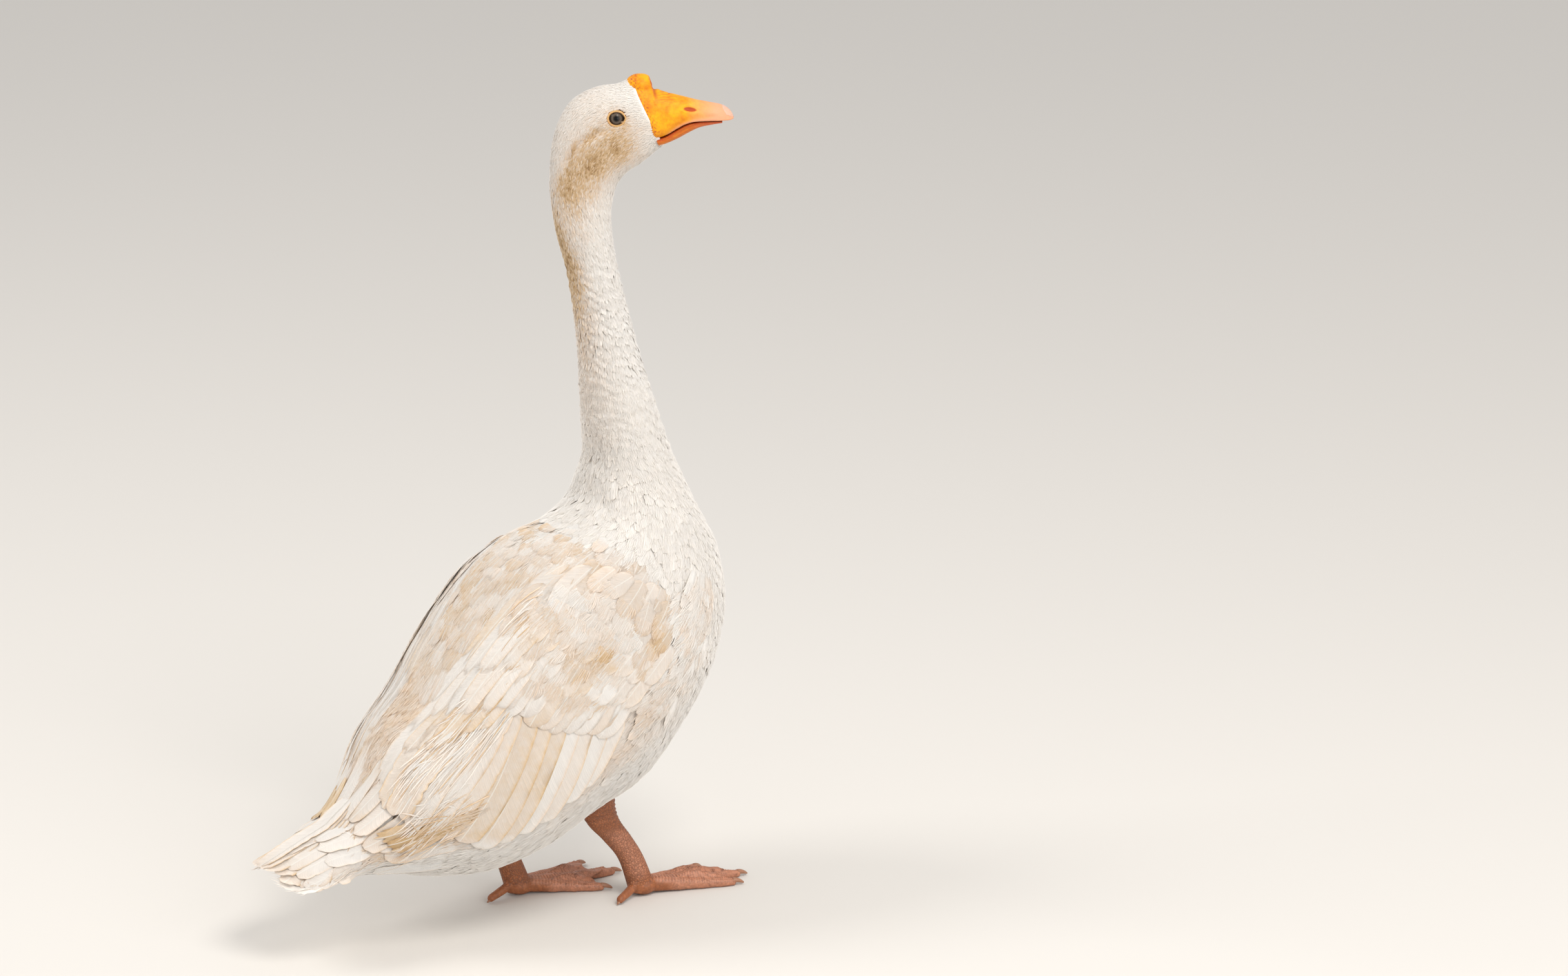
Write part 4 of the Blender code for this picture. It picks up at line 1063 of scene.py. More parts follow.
SECONDARIES = [  # root section, root girth, end section, end girth, lift at root, lift at end, bend
    (7.85, 180, 6.5, 207, 0.6, 2.6, 2), (7.6, 168, 6.12, 203, 0.8, 2.9, 3),
    (7.3, 154, 5.62, 191, 1.0, 3.2, 4), (7.1, 142, 5.16, 178, 1.2, 3.5, 4),
    (6.9, 129, 4.76, 167, 1.4, 3.8, 5), (6.7, 116, 4.42, 155, 1.6, 4.1, 5),
    (6.5, 104, 4.12, 135, 1.8, 4.3, 4),
]
TERTIALS = [
    (6.4, 95, 3.84, 113, 2.0, 4.5, 3), (6.4, 86, 3.58, 93, 2.2, 4.7, 2),
    (6.5, 76, 3.3, 74, 2.3, 4.8, 2), (6.5, 66, 3.02, 57, 2.3, 4.8, 2),
    (6.6, 55, 2.9, 42, 1.6, 3.4, 1), (6.7, 43, 3.2, 29, 0.6, 1.8, 0),
]
PRIMARIES = [
    (5.5, 146, 3.45, 92, 1.0, 2.6, 2), (5.3, 139, 3.15, 81, 1.2, 2.9, 2),
    (5.1, 132, 2.9, 71, 1.4, 3.2, 2), (4.95, 125, 2.68, 61, 1.6, 3.4, 2),
    (4.8, 118, 2.5, 52, 1.8, 3.6, 2),
]
GREATER_COVERTS = [  # section and girth of each tip along the step they form over the quills
    (7.3, 188), (7.09, 177), (6.84, 165), (6.62, 153), (6.45, 142), (6.3, 131), (6.17, 120), (6.05, 109),
    (5.9, 98), (5.74, 88),
]
SCAPULARS = [
    (7.00, 92, 5.3, 80, 2.6, 5.6, 0), (7.1, 84, 5.00, 68, 2.8, 5.7, 0), (7.00, 74, 4.55, 58, 2.9, 5.6, 1),
    (7.00, 66, 4.2, 47, 2.4, 4.4, 1), (7.1, 58, 3.95, 38, 1.8, 3.4, 1), (7.2, 46, 4.1, 28, 0.6, 1.7, 0),
    (8.1, 94, 5.75, 84, 2.8, 5.8, 0), (8.00, 86, 5.55, 73, 2.9, 5.9, 0), (8.00, 76, 5.2, 62, 3.0, 5.9, 0),
    (8.00, 68, 4.95, 50, 2.4, 4.6, 1), (8.1, 60, 4.8, 39, 1.8, 3.4, 1), (8.2, 48, 5.00, 28, 0.6, 1.7, 0),
    (8.9, 84, 6.3, 70, 2.8, 5.7, 0), (8.9, 74, 6.00, 58, 2.8, 5.6, 0), (8.9, 66, 5.8, 46, 2.0, 4.0, 0),
    (9.00, 54, 5.75, 36, 0.8, 2.2, 0),
]
COVER_ENDS = (4.6, 5.0, 6.6, 6.7, 6.1, 6.2, 6.4, 6.7, 7.15, 7.7), (0, 20, 34, 70, 92, 120, 136, 153, 176, 205)
COVER_LENGTH, COVER_HALF, COVER_DEPTH = 50.0, 13.0, 2.6
# Loose strands over the quills, in bunches: root section, root girth, end section, end girth; the last tan.
STRANDS = 340
BUNCHES = np.array([
    (5.75, 76, 4.75, 66), (5.95, 93, 5.0, 86), (5.3, 66, 4.3, 57), (4.9, 84, 3.95, 79), (6.9, 84, 6.0, 76),
    (4.5, 108, 3.5, 96), (4.3, 62, 3.3, 52), (7.8, 70, 6.9, 62), (3.9, 92, 3.0, 74), (4.55, 128, 2.9, 80),
])
# Rows of greater coverts: shift of their ends in sections, length, half width, lift.
COVERT_ROWS = (0.0, 62.0, 12.5, 4.4), (0.62, 52.0, 11.5, 4.7), (1.2, 44.0, 10.5, 4.8)
FAR_WING_FLATNESS = 0.4


def crowd_cover(place, angle):
    """Crowding of the soft scapulars and coverts: roots in front of the line where their ends show."""
    girth = np.abs(girth_at(place, angle))
    ends = np.interp(girth, COVER_ENDS[1], COVER_ENDS[0])
    lowest = np.interp(place, WING_PLACES, WING_FEET) - 2
    return ((girth < lowest) & (place > ends + 1.15) & (place < 10.55)).astype(float)


def wing_rows(vanes, side, table, rows, half, wear, ragged, edge, tip, tilt, seed, round_end=0.6, extra=0.0):
    """Adds one row of quills to vanes, from a table as above; extra tan lies all over them."""
    line, normal, across, place, angle = chart_lines(table, side, rows, 1.0, seed)
    luck = default_rng(seed + 50)
    halves = half * luck.uniform(0.93, 1.07, (len(table), 1))
    stain = stain_at(place, angle) * luck.uniform(0.2, 1.0, (len(table), 1)) + extra
    vanes.add(
        line, normal, across, halves[:, 0], stain, luck.uniform(0.25, 1, len(table)),
        unwrap(place[:, 0], angle[:, 0]), seed, columns=13, round_end=round_end, wear=wear, tilt=tilt,
        ragged=ragged, edge_stain=edge, tip_stain=tip, flip=side < 0,
    )


# The tan streak over each wing tip, by side, in the same columns.
STREAKS = {
    -1: [
        (4.85, 134, 3.45, 96, 3.6, 4.6, 0.5), (4.7, 128, 3.1, 86, 3.8, 4.9, 0.2),
        (4.5, 122, 2.8, 76, 4.0, 5.1, -0.4), (4.15, 110, 2.7, 66, 4.0, 5.2, 0.6),
    ],
    1: [
        (2.75, 32, 1.25, 24, 2.2, 3.0, 0.3), (2.6, 26, 1.05, 19, 2.4, 3.2, -0.3),
        (2.9, 20, 1.45, 13, 2.2, 3.0, 0.2),
    ],
}
for side, side_name in ((-1, "right"), (1, "left")):
    vanes = Vanes()
    seed = 200 if side < 0 else 300
    flatter = np.ones(7)
    if side > 0:
        flatter[4:6] = FAR_WING_FLATNESS
    tertials, scapulars = np.array(TERTIALS) * flatter, np.array(SCAPULARS) * flatter
    wing_rows(vanes, side, STREAKS[side], 26, 4.6, 0.25, 0.35, 0.3, 0.1, 0.05, seed + 5, extra=0.42)
    wing_rows(vanes, side, PRIMARIES, 34, 6.5, 0.3, 0.45, 0.3, 0.25, 0.05, seed + 1, extra=0.22)
    wing_rows(vanes, side, SECONDARIES, 34, 15.5, 0.0, 0.02, 0.3, 0.04, 0.085, seed + 2, round_end=0.5)
    wing_rows(vanes, side, tertials, 38, 13.5, 0.12, 0.14, 0.3, 0.1, 0.06, seed + 3)
    wing_rows(vanes, side, scapulars, 24, 9.5, 0.05, 0.05, 0.24, 0.06, 0.08, seed + 4, round_end=0.9)
    quills = vanes.make(f"wing_{side_name}_quills", quill_paint)
    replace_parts(quills, f"wing_{side_name}")

    luck = default_rng(seed + 60)
    which = np.arange(STRANDS) % len(BUNCHES)
    tan_bunch = which == len(BUNCHES) - 1
    root, root_girth, end, end_girth = BUNCHES[which].T
    stray = luck.normal(0, 1, STRANDS) * np.where(tan_bunch, 0.45, 1.0)
    table = beside(
        root + luck.normal(0, 0.15, STRANDS), root_girth + 5.0 * stray,
        end + luck.normal(0, 0.25, STRANDS), end_girth + 6.5 * stray + luck.normal(0, 1.2, STRANDS),
        4.2, luck.uniform(4.6, 6.2, STRANDS), luck.normal(0, 1.2, STRANDS),
    )
    line, normal, across, place, angle = chart_lines(table, side, 5, 0.2, seed + 61)
    widths = luck.uniform(0.3, 0.8, (STRANDS, 1)) * np.array([0.8, 1.0, 0.9, 0.6])
    is_tan = (luck.uniform(0, 1, STRANDS) < 0.18) | tan_bunch
    tan = np.where(is_tan, luck.uniform(0.35, 0.55, STRANDS), luck.uniform(0.02, 0.16, STRANDS))
    coat, roots = Coat(), unwrap(place[:, 0], angle[:, 0])
    tone = luck.uniform(0.3, 1, STRANDS)
    coat.add(line, normal, across * side, widths, 0.4 * widths, np.linspace(0, 1, 5), roots, tan, tone)
    coat.make(f"wing_{side_name}_frays", down_paint)

    vanes = Vanes()
    tips, tip_girths = np.array(GREATER_COVERTS).T
    for layer, (shift, reach, half, lift) in enumerate(COVERT_ROWS):
        girth = tip_girths - 4.0 * layer
        end = tips + shift + default_rng(seed + 10 + layer).normal(0, 0.06, len(tips))
        *_, per_section, _ = form_frame(end, angle_at(end, girth * side))
        lift = lift + np.interp(girth, (44, 95, 176), (1.0, 0.8, -0.6))
        table = beside(end + reach / per_section, girth * 0.93, end, girth, lift - 1.6, lift, 1.0)
        own_seed = seed + 20 + layer
        wing_rows(vanes, side, table, 16, half, 0.02, 0.02, 0.1, 0.03, 0.05, own_seed, round_end=0.8)
    vanes.make(f"wing_{side_name}_coverts", quill_paint)

COVER_STEPS = np.linspace(0, 1, 12)
for number, (side_name, sign) in enumerate((("right", -1), ("left", 1))):
    place, angle = spread_roots(10.4, 5.0, 10.6, crowd_cover, 90)
    chosen = (angle > 0) == (sign > 0)
    place, angle = place[chosen], angle[chosen]
    luck = default_rng(95 + number)
    size = luck.uniform(0.8, 1.2, len(place)) * np.interp(place, (5, 9, 10.5), (1.12, 0.92, 0.62))
    girth = np.abs(girth_at(place, angle))
    lift = 1.3 + over_wing(place, angle) * np.interp(girth, (40, 80, 120, 180), (1.0, 1.5, 1.35, 0.8))
    lift = lift + luck.uniform(-0.25, 0.25, len(place)) - 0.5
    lift = lift[:, None] * (0.45 if sign > 0 else 1.0)
    swing = luck.normal(0.0, 0.12, len(place)) + 0.1 * sign
    fade = luck.uniform(0.4, 1.15, len(place))
    tone, roots, length = luck.uniform(0, 1, len(place)), unwrap(place, angle), COVER_LENGTH * size
    vanes, coat = Vanes(), Coat()
    heights = lift - COVER_DEPTH * (1 - COVER_STEPS) ** 1.7 - 0.9 * held((COVER_STEPS - 0.7) / 0.3) ** 2
    line, normal, _way, left, stains = feather_lines(place, angle, length, swing, COVER_STEPS, heights)
    vanes.add(
        line, normal, left, COVER_HALF * size, stains * fade[:, None], tone, roots, 98 + number,
        round_end=0.75, camber=0.09, shaft=0.0, edge_stain=0.05, thick=0.22,
    )
    heights = lift - COVER_DEPTH * (1 - BARB_STEPS) ** 1.7 - np.array([0.0, 0.3, 0.75])
    *lines, stains = feather_lines(place, angle, length, swing, BARB_STEPS, heights)
    stain = stains[:, -1] * fade
    fringe(coat, lines, length, 12.0 * size, 18, 0.5, 0.04, 0.05, roots, stain, tone, luck)
    vanes.make(f"cover_{side_name}", quill_paint)
    coat.make(f"cover_{side_name}_fringe", down_paint)

# Flank plumes that lie over the wing's front and lower edge, along this line of sections and girths.
PLUME_LINE = np.array([(10.6, 128), (10.3, 146), (9.8, 164), (9.3, 182), (8.8, 196), (8.3, 206)])
PLUMES = 420
luck = default_rng(120)
share, side = luck.uniform(0, 1, PLUMES), np.where(np.arange(PLUMES) % 2 == 0, -1, 1)
spots = np.linspace(0, 1, len(PLUME_LINE))
place = np.interp(share, spots, PLUME_LINE[:, 0]) + luck.uniform(0.1, 0.9, PLUMES)
girth = np.interp(share, spots, PLUME_LINE[:, 1]) + luck.uniform(-3, 14, PLUMES)
angle = angle_at(place, girth * side)
coat = Coat()
contour_feathers(
    coat, place, angle, luck.uniform(28, 44, PLUMES), luck.uniform(4.0, 7.0, PLUMES),
    luck.normal(-0.15, 0.14, PLUMES) * side, np.full(PLUMES, 5.0), 11, 0.5, 121,
    lift=np.full(PLUMES, 2.6), curl=0.14, shag=0.14,
    stain=stain_at(place, angle) * 0.6 + 0.16 * luck.uniform(0, 1, PLUMES) ** 2,
)
coat.make("plumes_wing_edge", down_paint)

# ---------------------------------------------------------------- tail
# Twelve broad tail quills fan out from the stump, the middle pair on top, each half under its neighbour.
# Rows of shorter coverts lie over their roots like tiles.

TAIL_BACKS, TAIL_RIDGES, _, TAIL_HALVES, TAIL_ARCHES = np.array(TAIL_SECTIONS).T
# Where the fan's arch begins, and the quills' roots: distance back, half the spread.
FAN_FRONT, QUILL_ROOT, ROOT_SPREAD = 262.0, 268.0, 12.0
FAN_PLACES = np.array([0.07, 0.25, 0.43, 0.61, 0.78, 0.94])
FAN_REACHES = np.array([1.0, 1.0, 0.99, 1.0, 0.99, 1.0])


def tail_lines(fan, above, rows):
    """Lines over the closed tail fan: each runs from its root to the fan's rounded rim, at the height of
    ridge - arch * (left / half width) squared + above."""
    end_left = fan * TAIL_HALVES.max()
    end_back = np.interp(-np.abs(end_left), -TAIL_HALVES[:1:-1][::-1], TAIL_BACKS[2:]) * FAN_REACHES
    steps = np.linspace(0, 1, rows)
    back = QUILL_ROOT + (end_back - QUILL_ROOT)[:, None] * steps
    left = (ROOT_SPREAD * fan)[:, None] + (end_left - ROOT_SPREAD * fan)[:, None] * steps**1.1
    half = np.maximum(np.interp(back, TAIL_BACKS, TAIL_HALVES), 1.0)
    ridge = np.interp(back, (FAN_FRONT, *TAIL_BACKS), (140, *TAIL_RIDGES))
    arch = np.interp(back, (FAN_FRONT, *TAIL_BACKS), (3.0, *TAIL_ARCHES))
    up = ridge - arch * np.clip(np.abs(left) / np.maximum(half, 30), 0, 1.05) ** 2 + above
    line = beside(-back, left, up)
    normal = unit(beside(-0.35, 2 * arch * left / 42**2, 1.0))
    return line, normal, unit(np.cross(unit(np.gradient(line, axis=1)), normal))


vanes = Vanes()
luck = default_rng(800)
for side in (-1, 1):
    fan = FAN_PLACES * side
    above = -1.5 * np.arange(6)[:, None] - 0.5 * (side > 0) + 0.8
    line, normal, across = tail_lines(fan, above, 30)
    vanes.add(
        line, normal, across * side, luck.uniform(11.4, 12.6, 6), np.full(6, 0.1), luck.uniform(0.3, 1, 6),
        unwrap(np.full(6, -2.0), fan * 1.5), 810 + side, columns=13, round_end=0.75, wear=0.12, ragged=0.08,
        edge_stain=0.4, tip_stain=0.14, tilt=-0.1, flip=side < 0, camber=0.05,
    )
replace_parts(vanes.make("tail_quills", quill_paint), "tail")

# Each row of coverts: section of the ends and of the roots, half width, lift at the ends.
TAIL_COVERTS = [(-1.9, 2.0, 9.0, 1.2), (-0.1, 3.0, 9.0, 1.7), (1.9, 4.4, 8.5, 2.3)]
vanes = Vanes()
for side in (-1, 1):
    for layer, (end, root, half, lift) in enumerate(TAIL_COVERTS):
        around = np.arange(7.0, 92.0, 12.5) + 5.0 * (layer % 2)
        luck = default_rng(840 + 10 * layer + side)
        ends = end + 0.35 * (around / 60) ** 2 + luck.uniform(-0.3, 0.3, len(around))
        widening = float(girth_at(root, pi) / girth_at(end, pi))
        girths, bends = around + luck.normal(0, 0.8, len(around)), luck.normal(0, 0.4, len(around))
        table = beside(root, around * widening * 0.9, ends, girths, lift - 3.5, lift, bends)
        wing_rows(vanes, side, table, 24, half, 0.06, 0.06, 0.22, 0.06, 0.085, 850 + layer, round_end=0.9)
vanes.make("tail_coverts", quill_paint)


# ---------------------------------------------------------------- bill and knob
# A goose's bill is bone under soft orange skin: a high root with a fleshy knob on it, a slot-shaped nostril
# in a shallow hollow, a pale rim along its biting edge, and a hard pale nail at its tip.

BILL_SECTIONS = [  # ridge, biting edge, chin line as (ahead, above), half width
    ((41.0, 28.0), (62.5, -18.5), (65.0, -25.0), 16.0),
    ((45.2, 27.4), (66.8, -17.2), (69.9, -23.5), 16.4),
    ((57, 25.2), (71.5, -15.5), (75, -21.6), 15.8),
    ((70, 20.2), (79.5, -10.6), (82.5, -18.1), 15),
    ((84, 16.7), (89, -5.6), (91.5, -13.2), 14),
    ((97, 13.3), (98.5, -3.7), (100, -9.2), 13.2),
    ((109, 11.0), (109.5, -3.4), (110, -6.8), 12.2),
    ((118, 9.0), (118, -3.5), (118, -5.4), 10.2),
    ((124.6, 4.6), (124.6, -3.4), (124, -4.6), 7),
    ((128, -0.8), (127.6, -2.8), (126.5, -3.8), 2.6),
]
BILL_SQUARENESS = 2.0, 4.5
BILL_WIDEST = 0.3
KNOB_RADII = 12.0, 9.0, 9.6


def bill_form(place, angle, ridge, edge, share):
    """One half of the bill in the head's plane: from its widest line, the way to the ridge or to the biting
    edge by the cosine of the angle, and half width * share * sine sideways, squared off below."""
    *lines, widths = (np.array(column, float) for column in zip(*BILL_SECTIONS, strict=True))
    up, aside = squircle(angle, *BILL_SQUARENESS)
    far, near = (smooth_through(lines[k], place) for k in (ridge, edge))
    widest = near + (far - near) * BILL_WIDEST
    level = widest + (np.where(up[..., None] > 0, far, near) - widest) * np.abs(up)[..., None]
    return beside(level[..., 0], smooth_through(widths * share, place) * aside, level[..., 1])


def full_turn(count):
    """Angles evenly round a full turn."""
    return np.linspace(0, 2 * pi, count, endpoint=False)


def ring_grid(low, high, rings, around):
    """Rings from low to high, and the full turn round each."""
    return grid(np.linspace(low, high, rings), full_turn(around))


def ball(centre, radii):
    """An ellipsoid as a closed tube of rings about its sideways axis, in (ahead, aside, above)."""
    polar, turn = ring_grid(0.02, pi - 0.02, 40, 64)
    shape = beside(np.sin(polar) * np.cos(turn), np.cos(polar), np.sin(polar) * np.sin(turn))
    return closed_tube(centre + shape * radii)


def joined_skin(name, shells, voxel, smoothing):
    """One organic skin round overlapping closed shells of world points: they are voxel remeshed together and
    smoothed. Returns its world points, their normals and its faces as arrays."""
    points, faces, count = [], [], 0
    for shell, quads, caps in shells:
        points.append(shell)
        faces += (quads + count).tolist() + (caps + count).tolist()
        count += len(shell)
    rough = bpy.data.meshes.new(name)
    rough.from_pydata(np.concatenate(points).tolist(), [], faces)
    made = linked(name, rough)
    remesh = made.modifiers.new("one_skin", "REMESH")
    remesh.mode, remesh.voxel_size = "VOXEL", voxel
    soften = made.modifiers.new("soften", "SMOOTH")
    soften.factor, soften.iterations = 0.5, smoothing
    graph = bpy.context.evaluated_depsgraph_get()
    finished = bpy.data.meshes.new_from_object(made.evaluated_get(graph))
    read = []
    for source, field in ((finished.vertices, "co"), (finished.vertex_normals, "vector")):
        values = np.empty(len(finished.vertices) * 3, np.float32)
        source.foreach_get(field, values)
        read.append(values.reshape(-1, 3).astype(float))
    loops = np.empty(len(finished.loops), np.int32)
    finished.loops.foreach_get("vertex_index", loops)
    bpy.data.objects.remove(made, do_unlink=True)
    bpy.data.meshes.remove(rough)
    bpy.data.meshes.remove(finished)
    return *read, loops.reshape(-1, 4)


def head_to_world(points):
    """(ahead, aside, above) in the head's frame to world metres."""
    return to_world(head_point(points[..., 0], points[..., 2], points[..., 1]))


def soft_noise(points, size, seed):
    """Smooth noise from -1 to 1: the mean of six sine waves of about that size in random directions."""
    luck = default_rng(seed)
    ways = unit(luck.normal(size=(6, 3))) * (2 * pi / size) * luck.uniform(0.7, 1.4, (6, 1))
    return np.sin(points @ ways.T + luck.uniform(0, 6.28, 6)).mean(axis=-1)


# The biting edge's height by distance ahead.
EDGE_LINE = (
    (62, 68.8, 74.2, 79.7, 86.5, 94.6, 105.5, 124.5), (-18.5, -16.7, -14, -9.9, -6.1, -3.6, -3.2, -3.3),
)
NOSTRIL, NOSTRIL_RADII = (91.7, 7.6), (5.4, 1.9)
BILL_GRAIN = 0.00068
knob = ball((48.8, 0.0, 26.2), KNOB_RADII)
upper_half = closed_tube(bill_form(*ring_grid(0, 9, 120, 72), 0, 1, 1.0))
shells = [(head_to_world(points), quads, caps) for points, quads, caps in (upper_half, knob)]
points, normals, faces = joined_skin("bill_upper_skin", shells, BILL_GRAIN, 4)
grain = points / MM
ahead_, aside_, above_ = in_head(to_bird(points)).T
outer_side = np.abs(aside_)
along = ahead_ - NOSTRIL[0]
from_nostril = np.hypot(along / NOSTRIL_RADII[0], (above_ - NOSTRIL[1] + 0.12 * along) / NOSTRIL_RADII[1])
hollow = np.hypot((ahead_ - 86.0) / 13.0, (above_ - 8.6) / 4.6)
on_side = held((outer_side - 6.5) / 3.0)
from_edge = above_ - np.interp(ahead_, *EDGE_LINE)
behind_knob = hump(ahead_ - 61.3 - 0.25 * (24 - above_), 1.5)
ripples = np.sin(above_ * 3.4 + 2.2 * soft_noise(grain, 8.0, 8))
wrinkled = ripples * hump(ahead_ - 73, 11) * hump(above_ - 18.5, 6.0)
# Relief: nostril and hollow, lumps of the knob, crease below it, rim, teeth and grain.
rise = 0.35 * hump(from_nostril - 1.55, 0.5) - 1.7 * hump(from_nostril, 1.0) - 0.55 * hump(hollow, 1.0)
rise *= on_side
rise += 0.9 * hump(ahead_ - 50.0, 8.0) * hump(above_ - 30.0, 6.0) * soft_noise(grain, 9.0, 3)
rise -= 1.4 * behind_knob * held((above_ - 14) / 8)
rise += 0.45 * hump(from_edge - 1.3, 1.1) * held((ahead_ - 70) / 8)
rise -= 0.5 * hump(from_edge - 4.2, 1.6) * held((ahead_ - 72) / 8) * held((118 - ahead_) / 8)
rise += 0.1 * np.sin(ahead_ * 4.2) * hump(from_edge - 0.2, 0.9) * held((106 - ahead_) / 6)
rise += 0.16 * soft_noise(grain, 5.0, 4) + 0.07 * soft_noise(grain, 1.9, 5) - 0.25 * held(wrinkled)
pinkness = 0.85 * hump(from_edge - 0.9, 1.4) * held((ahead_ - 69) / 6) + held((ahead_ - 88) / 26)
stipple = held(soft_noise(grain, 2.6, 6) + soft_noise(grain, 1.3, 7) + 0.1)
face_line = np.interp(above_, (-18.5, 27.5), (62.5, 42.0))
# Dark red: the nostril's own red and the stipple along the feathers' edge, and painted shade in the crease
# behind the knob, in the wrinkles' grooves, under the biting edge and along the groove above it.
red_and_shade = held((1.12 - from_nostril) / 0.25) * on_side
red_and_shade += 0.8 * behind_knob * held((above_ - 12) / 8)
red_and_shade += 1.5 * stipple * hump(ahead_ - face_line - 2.0, 5.0) + 0.7 * held(wrinkled - 0.2)
red_and_shade += 0.55 * held(0.3 - from_edge) * (outer_side > 4)
red_and_shade += 0.22 * hump(from_edge - 3.8, 3.0) * held((96 - ahead_) / 14)

bill_paint, tree, sockets = new_paint(
    "orange_bill_skin", Specular_IOR_Level=0.22, Subsurface_Weight=0.15,
    Subsurface_Radius=(1.0, 0.35, 0.12), Subsurface_Scale=0.003,
)
mottle, specks = noise(tree, 95.0, 6.0, 0.7), noise(tree, 900.0, 2.0, 0.7)
colour = blend(tree, spread(tree, mottle, 0.38, 0.66), (0.84, 0.4, 0.006), (0.66, 0.21, 0.006))
colour = blend(tree, spread(tree, specks, 0.58, 0.74, 0.0, 0.35), colour, (0.55, 0.16, 0.02))
colour = blend(tree, field_of(tree, "pink"), colour, (0.78, 0.36, 0.2))
# Dark red for the nostril and the stipple, and for the painted shade of the bill's creases and of the lower
# bill.
colour = blend(tree, field_of(tree, "red_and_painted_shade"), colour, (0.44, 0.07, 0.018))
tree.links.new(colour, sockets["Base Color"])
tree.links.new(spread(tree, mottle, 0.0, 1.0, 0.42, 0.58), sockets["Roughness"])
ridged(tree, sockets, specks, 0.35, 0.0003)

upper = mesh_from(
    "bill_upper_skin", points + normals * (rise * MM)[:, None], faces, NO_TRIANGLES, bill_paint,
    fields={"pink": held(pinkness), "red_and_painted_shade": held(red_and_shade)},
)
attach(upper, "root")
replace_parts(upper, "bill_upper", "knob")

# The lower bill's groove and the foot of its teeth, in the same way.
LOWER_EDGE = (68, 80, 95, 110), (-18.8, -13.5, -6.5, -4.6)
LOWER_TEETH = (68, 80, 95, 110), (-19, -14, -7, -5)
lower_form = bill_form(*ring_grid(0.2, 7.1, 150, 96), 2, 1, 0.86) - (0, 0, 0.6)
ahead_, _, above_ = (lower_form[..., k] for k in range(3))
lower_form[..., 1] *= 1 - 0.1 * hump(above_ - np.interp(ahead_, *LOWER_EDGE), 1.2)
lower_form[..., 1] *= 1 + 0.012 * np.sin(ahead_ * 4.6) * (above_ > np.interp(ahead_, *LOWER_TEETH))
points, quads, caps = closed_tube(lower_form)
ahead_, _, above_ = points.T
# The lower bill's own brown, with painted shade under the upper bill: darkest just below its biting edge.
brown_and_shade = 1.0 - (np.interp(ahead_, *EDGE_LINE) - above_) / 16.0
brown_and_shade = np.clip(brown_and_shade, 0.7, 1.0) + 0.12 * soft_noise(points, 4.0, 9)
lower = mesh_from(
    "bill_lower_skin", head_to_world(points), quads, caps, bill_paint,
    fields={"pink": np.clip((ahead_ - 92) / 20, 0, 0.7), "red_and_painted_shade": held(brown_and_shade)},
)
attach(lower, "root")
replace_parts(lower, "bill_lower")

nail_place, nail_angle = grid(np.linspace(0, 1, 40), np.linspace(-1, 1, 33))
start = 7.05 + 0.55 * np.abs(nail_angle) ** 2.2
nail_form = bill_form(start + (8.86 - start) * nail_place, nail_angle * 1.25, 0, 1, 1.0)
nail_normal = unit(np.cross(np.gradient(nail_form, axis=0), np.gradient(nail_form, axis=1)))
nail_normal *= np.sign(nail_normal[..., 2:].mean())
plate = np.sqrt(held(1 - np.maximum(np.abs(nail_angle), np.abs(2 * nail_place - 1)) ** 6))
nail_form = nail_form + nail_normal * (0.45 * plate - 0.1)[..., None]
points, _, quads = sheets(nail_form[None], 1.2, nail_normal[None], False)
nail_paint, tree, sockets = new_paint(
    "pale_nail_horn", Roughness=0.38, Subsurface_Weight=0.25, Subsurface_Scale=0.002
)
colour = blend(tree, noise(tree, 420.0, 4.0), (0.78, 0.47, 0.35), (0.7, 0.37, 0.25))
tree.links.new(colour, sockets["Base Color"])
nail = mesh_from("bill_nail_plate", head_to_world(points[0]), quads, NO_TRIANGLES, nail_paint)
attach(nail, "root")
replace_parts(nail, "bill_nail")

# ---------------------------------------------------------------- eyes
# Each eye is a wet ball deep in the head: black pupil, grey-brown iris with a dark rim. A bare cream-yellow
# ring of lid lies on the ball and runs out under the face feathers.

EYE_RADIUS, CORNEA_BULGE = 8.2, 0.035
PUPIL, IRIS, IRIS_RIM = 2.0, 5.3, 6.0
LID_OPENING, LID_OUTER, EYE_CORNER = (6.05, 5.35), (9.0, 8.0), 0.7
# The ball's colours by distance from its axis in millimetres.
EYE_ZONES = [
    (0.0, (0.004, 0.004, 0.005)), (PUPIL - 0.2, (0.004, 0.004, 0.005)),
    (PUPIL + 0.2, (0.024, 0.016, 0.011)), (3.7, (0.115, 0.088, 0.068)),
    (IRIS - 0.5, (0.038, 0.026, 0.019)), (IRIS, (0.02, 0.014, 0.01)),
    (IRIS_RIM, (0.012, 0.008, 0.006)), (8.0, (0.03, 0.02, 0.015)),
]


def skin_paint(name, dark, light, roughness, scale, attribute=None, other=None):
    """Bare skin: two colours mixed by noise, and a third by an attribute of the piece."""
    paint, tree, sockets = new_paint(name, Roughness=roughness, Subsurface_Weight=0.2, Subsurface_Scale=0.002)
    mottle = noise(tree, scale, 4.0, 0.65)
    colour = blend(tree, mottle, dark, light)
    if attribute:
        colour = blend(tree, field_of(tree, attribute), colour, other)
    tree.links.new(colour, sockets["Base Color"])
    ridged(tree, sockets, mottle, 0.3, 0.0003)
    return paint


eye_paint, tree, sockets = new_paint(
    "wet_eye", Roughness=0.12, Specular_IOR_Level=0.12, Coat_Weight=0.2, Coat_Roughness=0.03, Coat_IOR=1.38
)
spokes = noise(tree, 7.0, 3.0, 0.7, vector=field_of(tree, "spoke", "Vector"))
wobble = maths(tree, "MULTIPLY_ADD", spokes, 1.1, field_of(tree, "off_axis"))
stops = [(place / 8, colour) for place, colour in EYE_ZONES]
zones = colour_ramp(tree, spread(tree, wobble, 0.55, 8.55), stops)
tree.links.new(zones, sockets["Base Color"])
lid_paint = skin_paint(
    "cream_lid", (0.5, 0.26, 0.09), (0.72, 0.47, 0.2), 0.5, 700.0, "rim", (0.22, 0.085, 0.03)
)

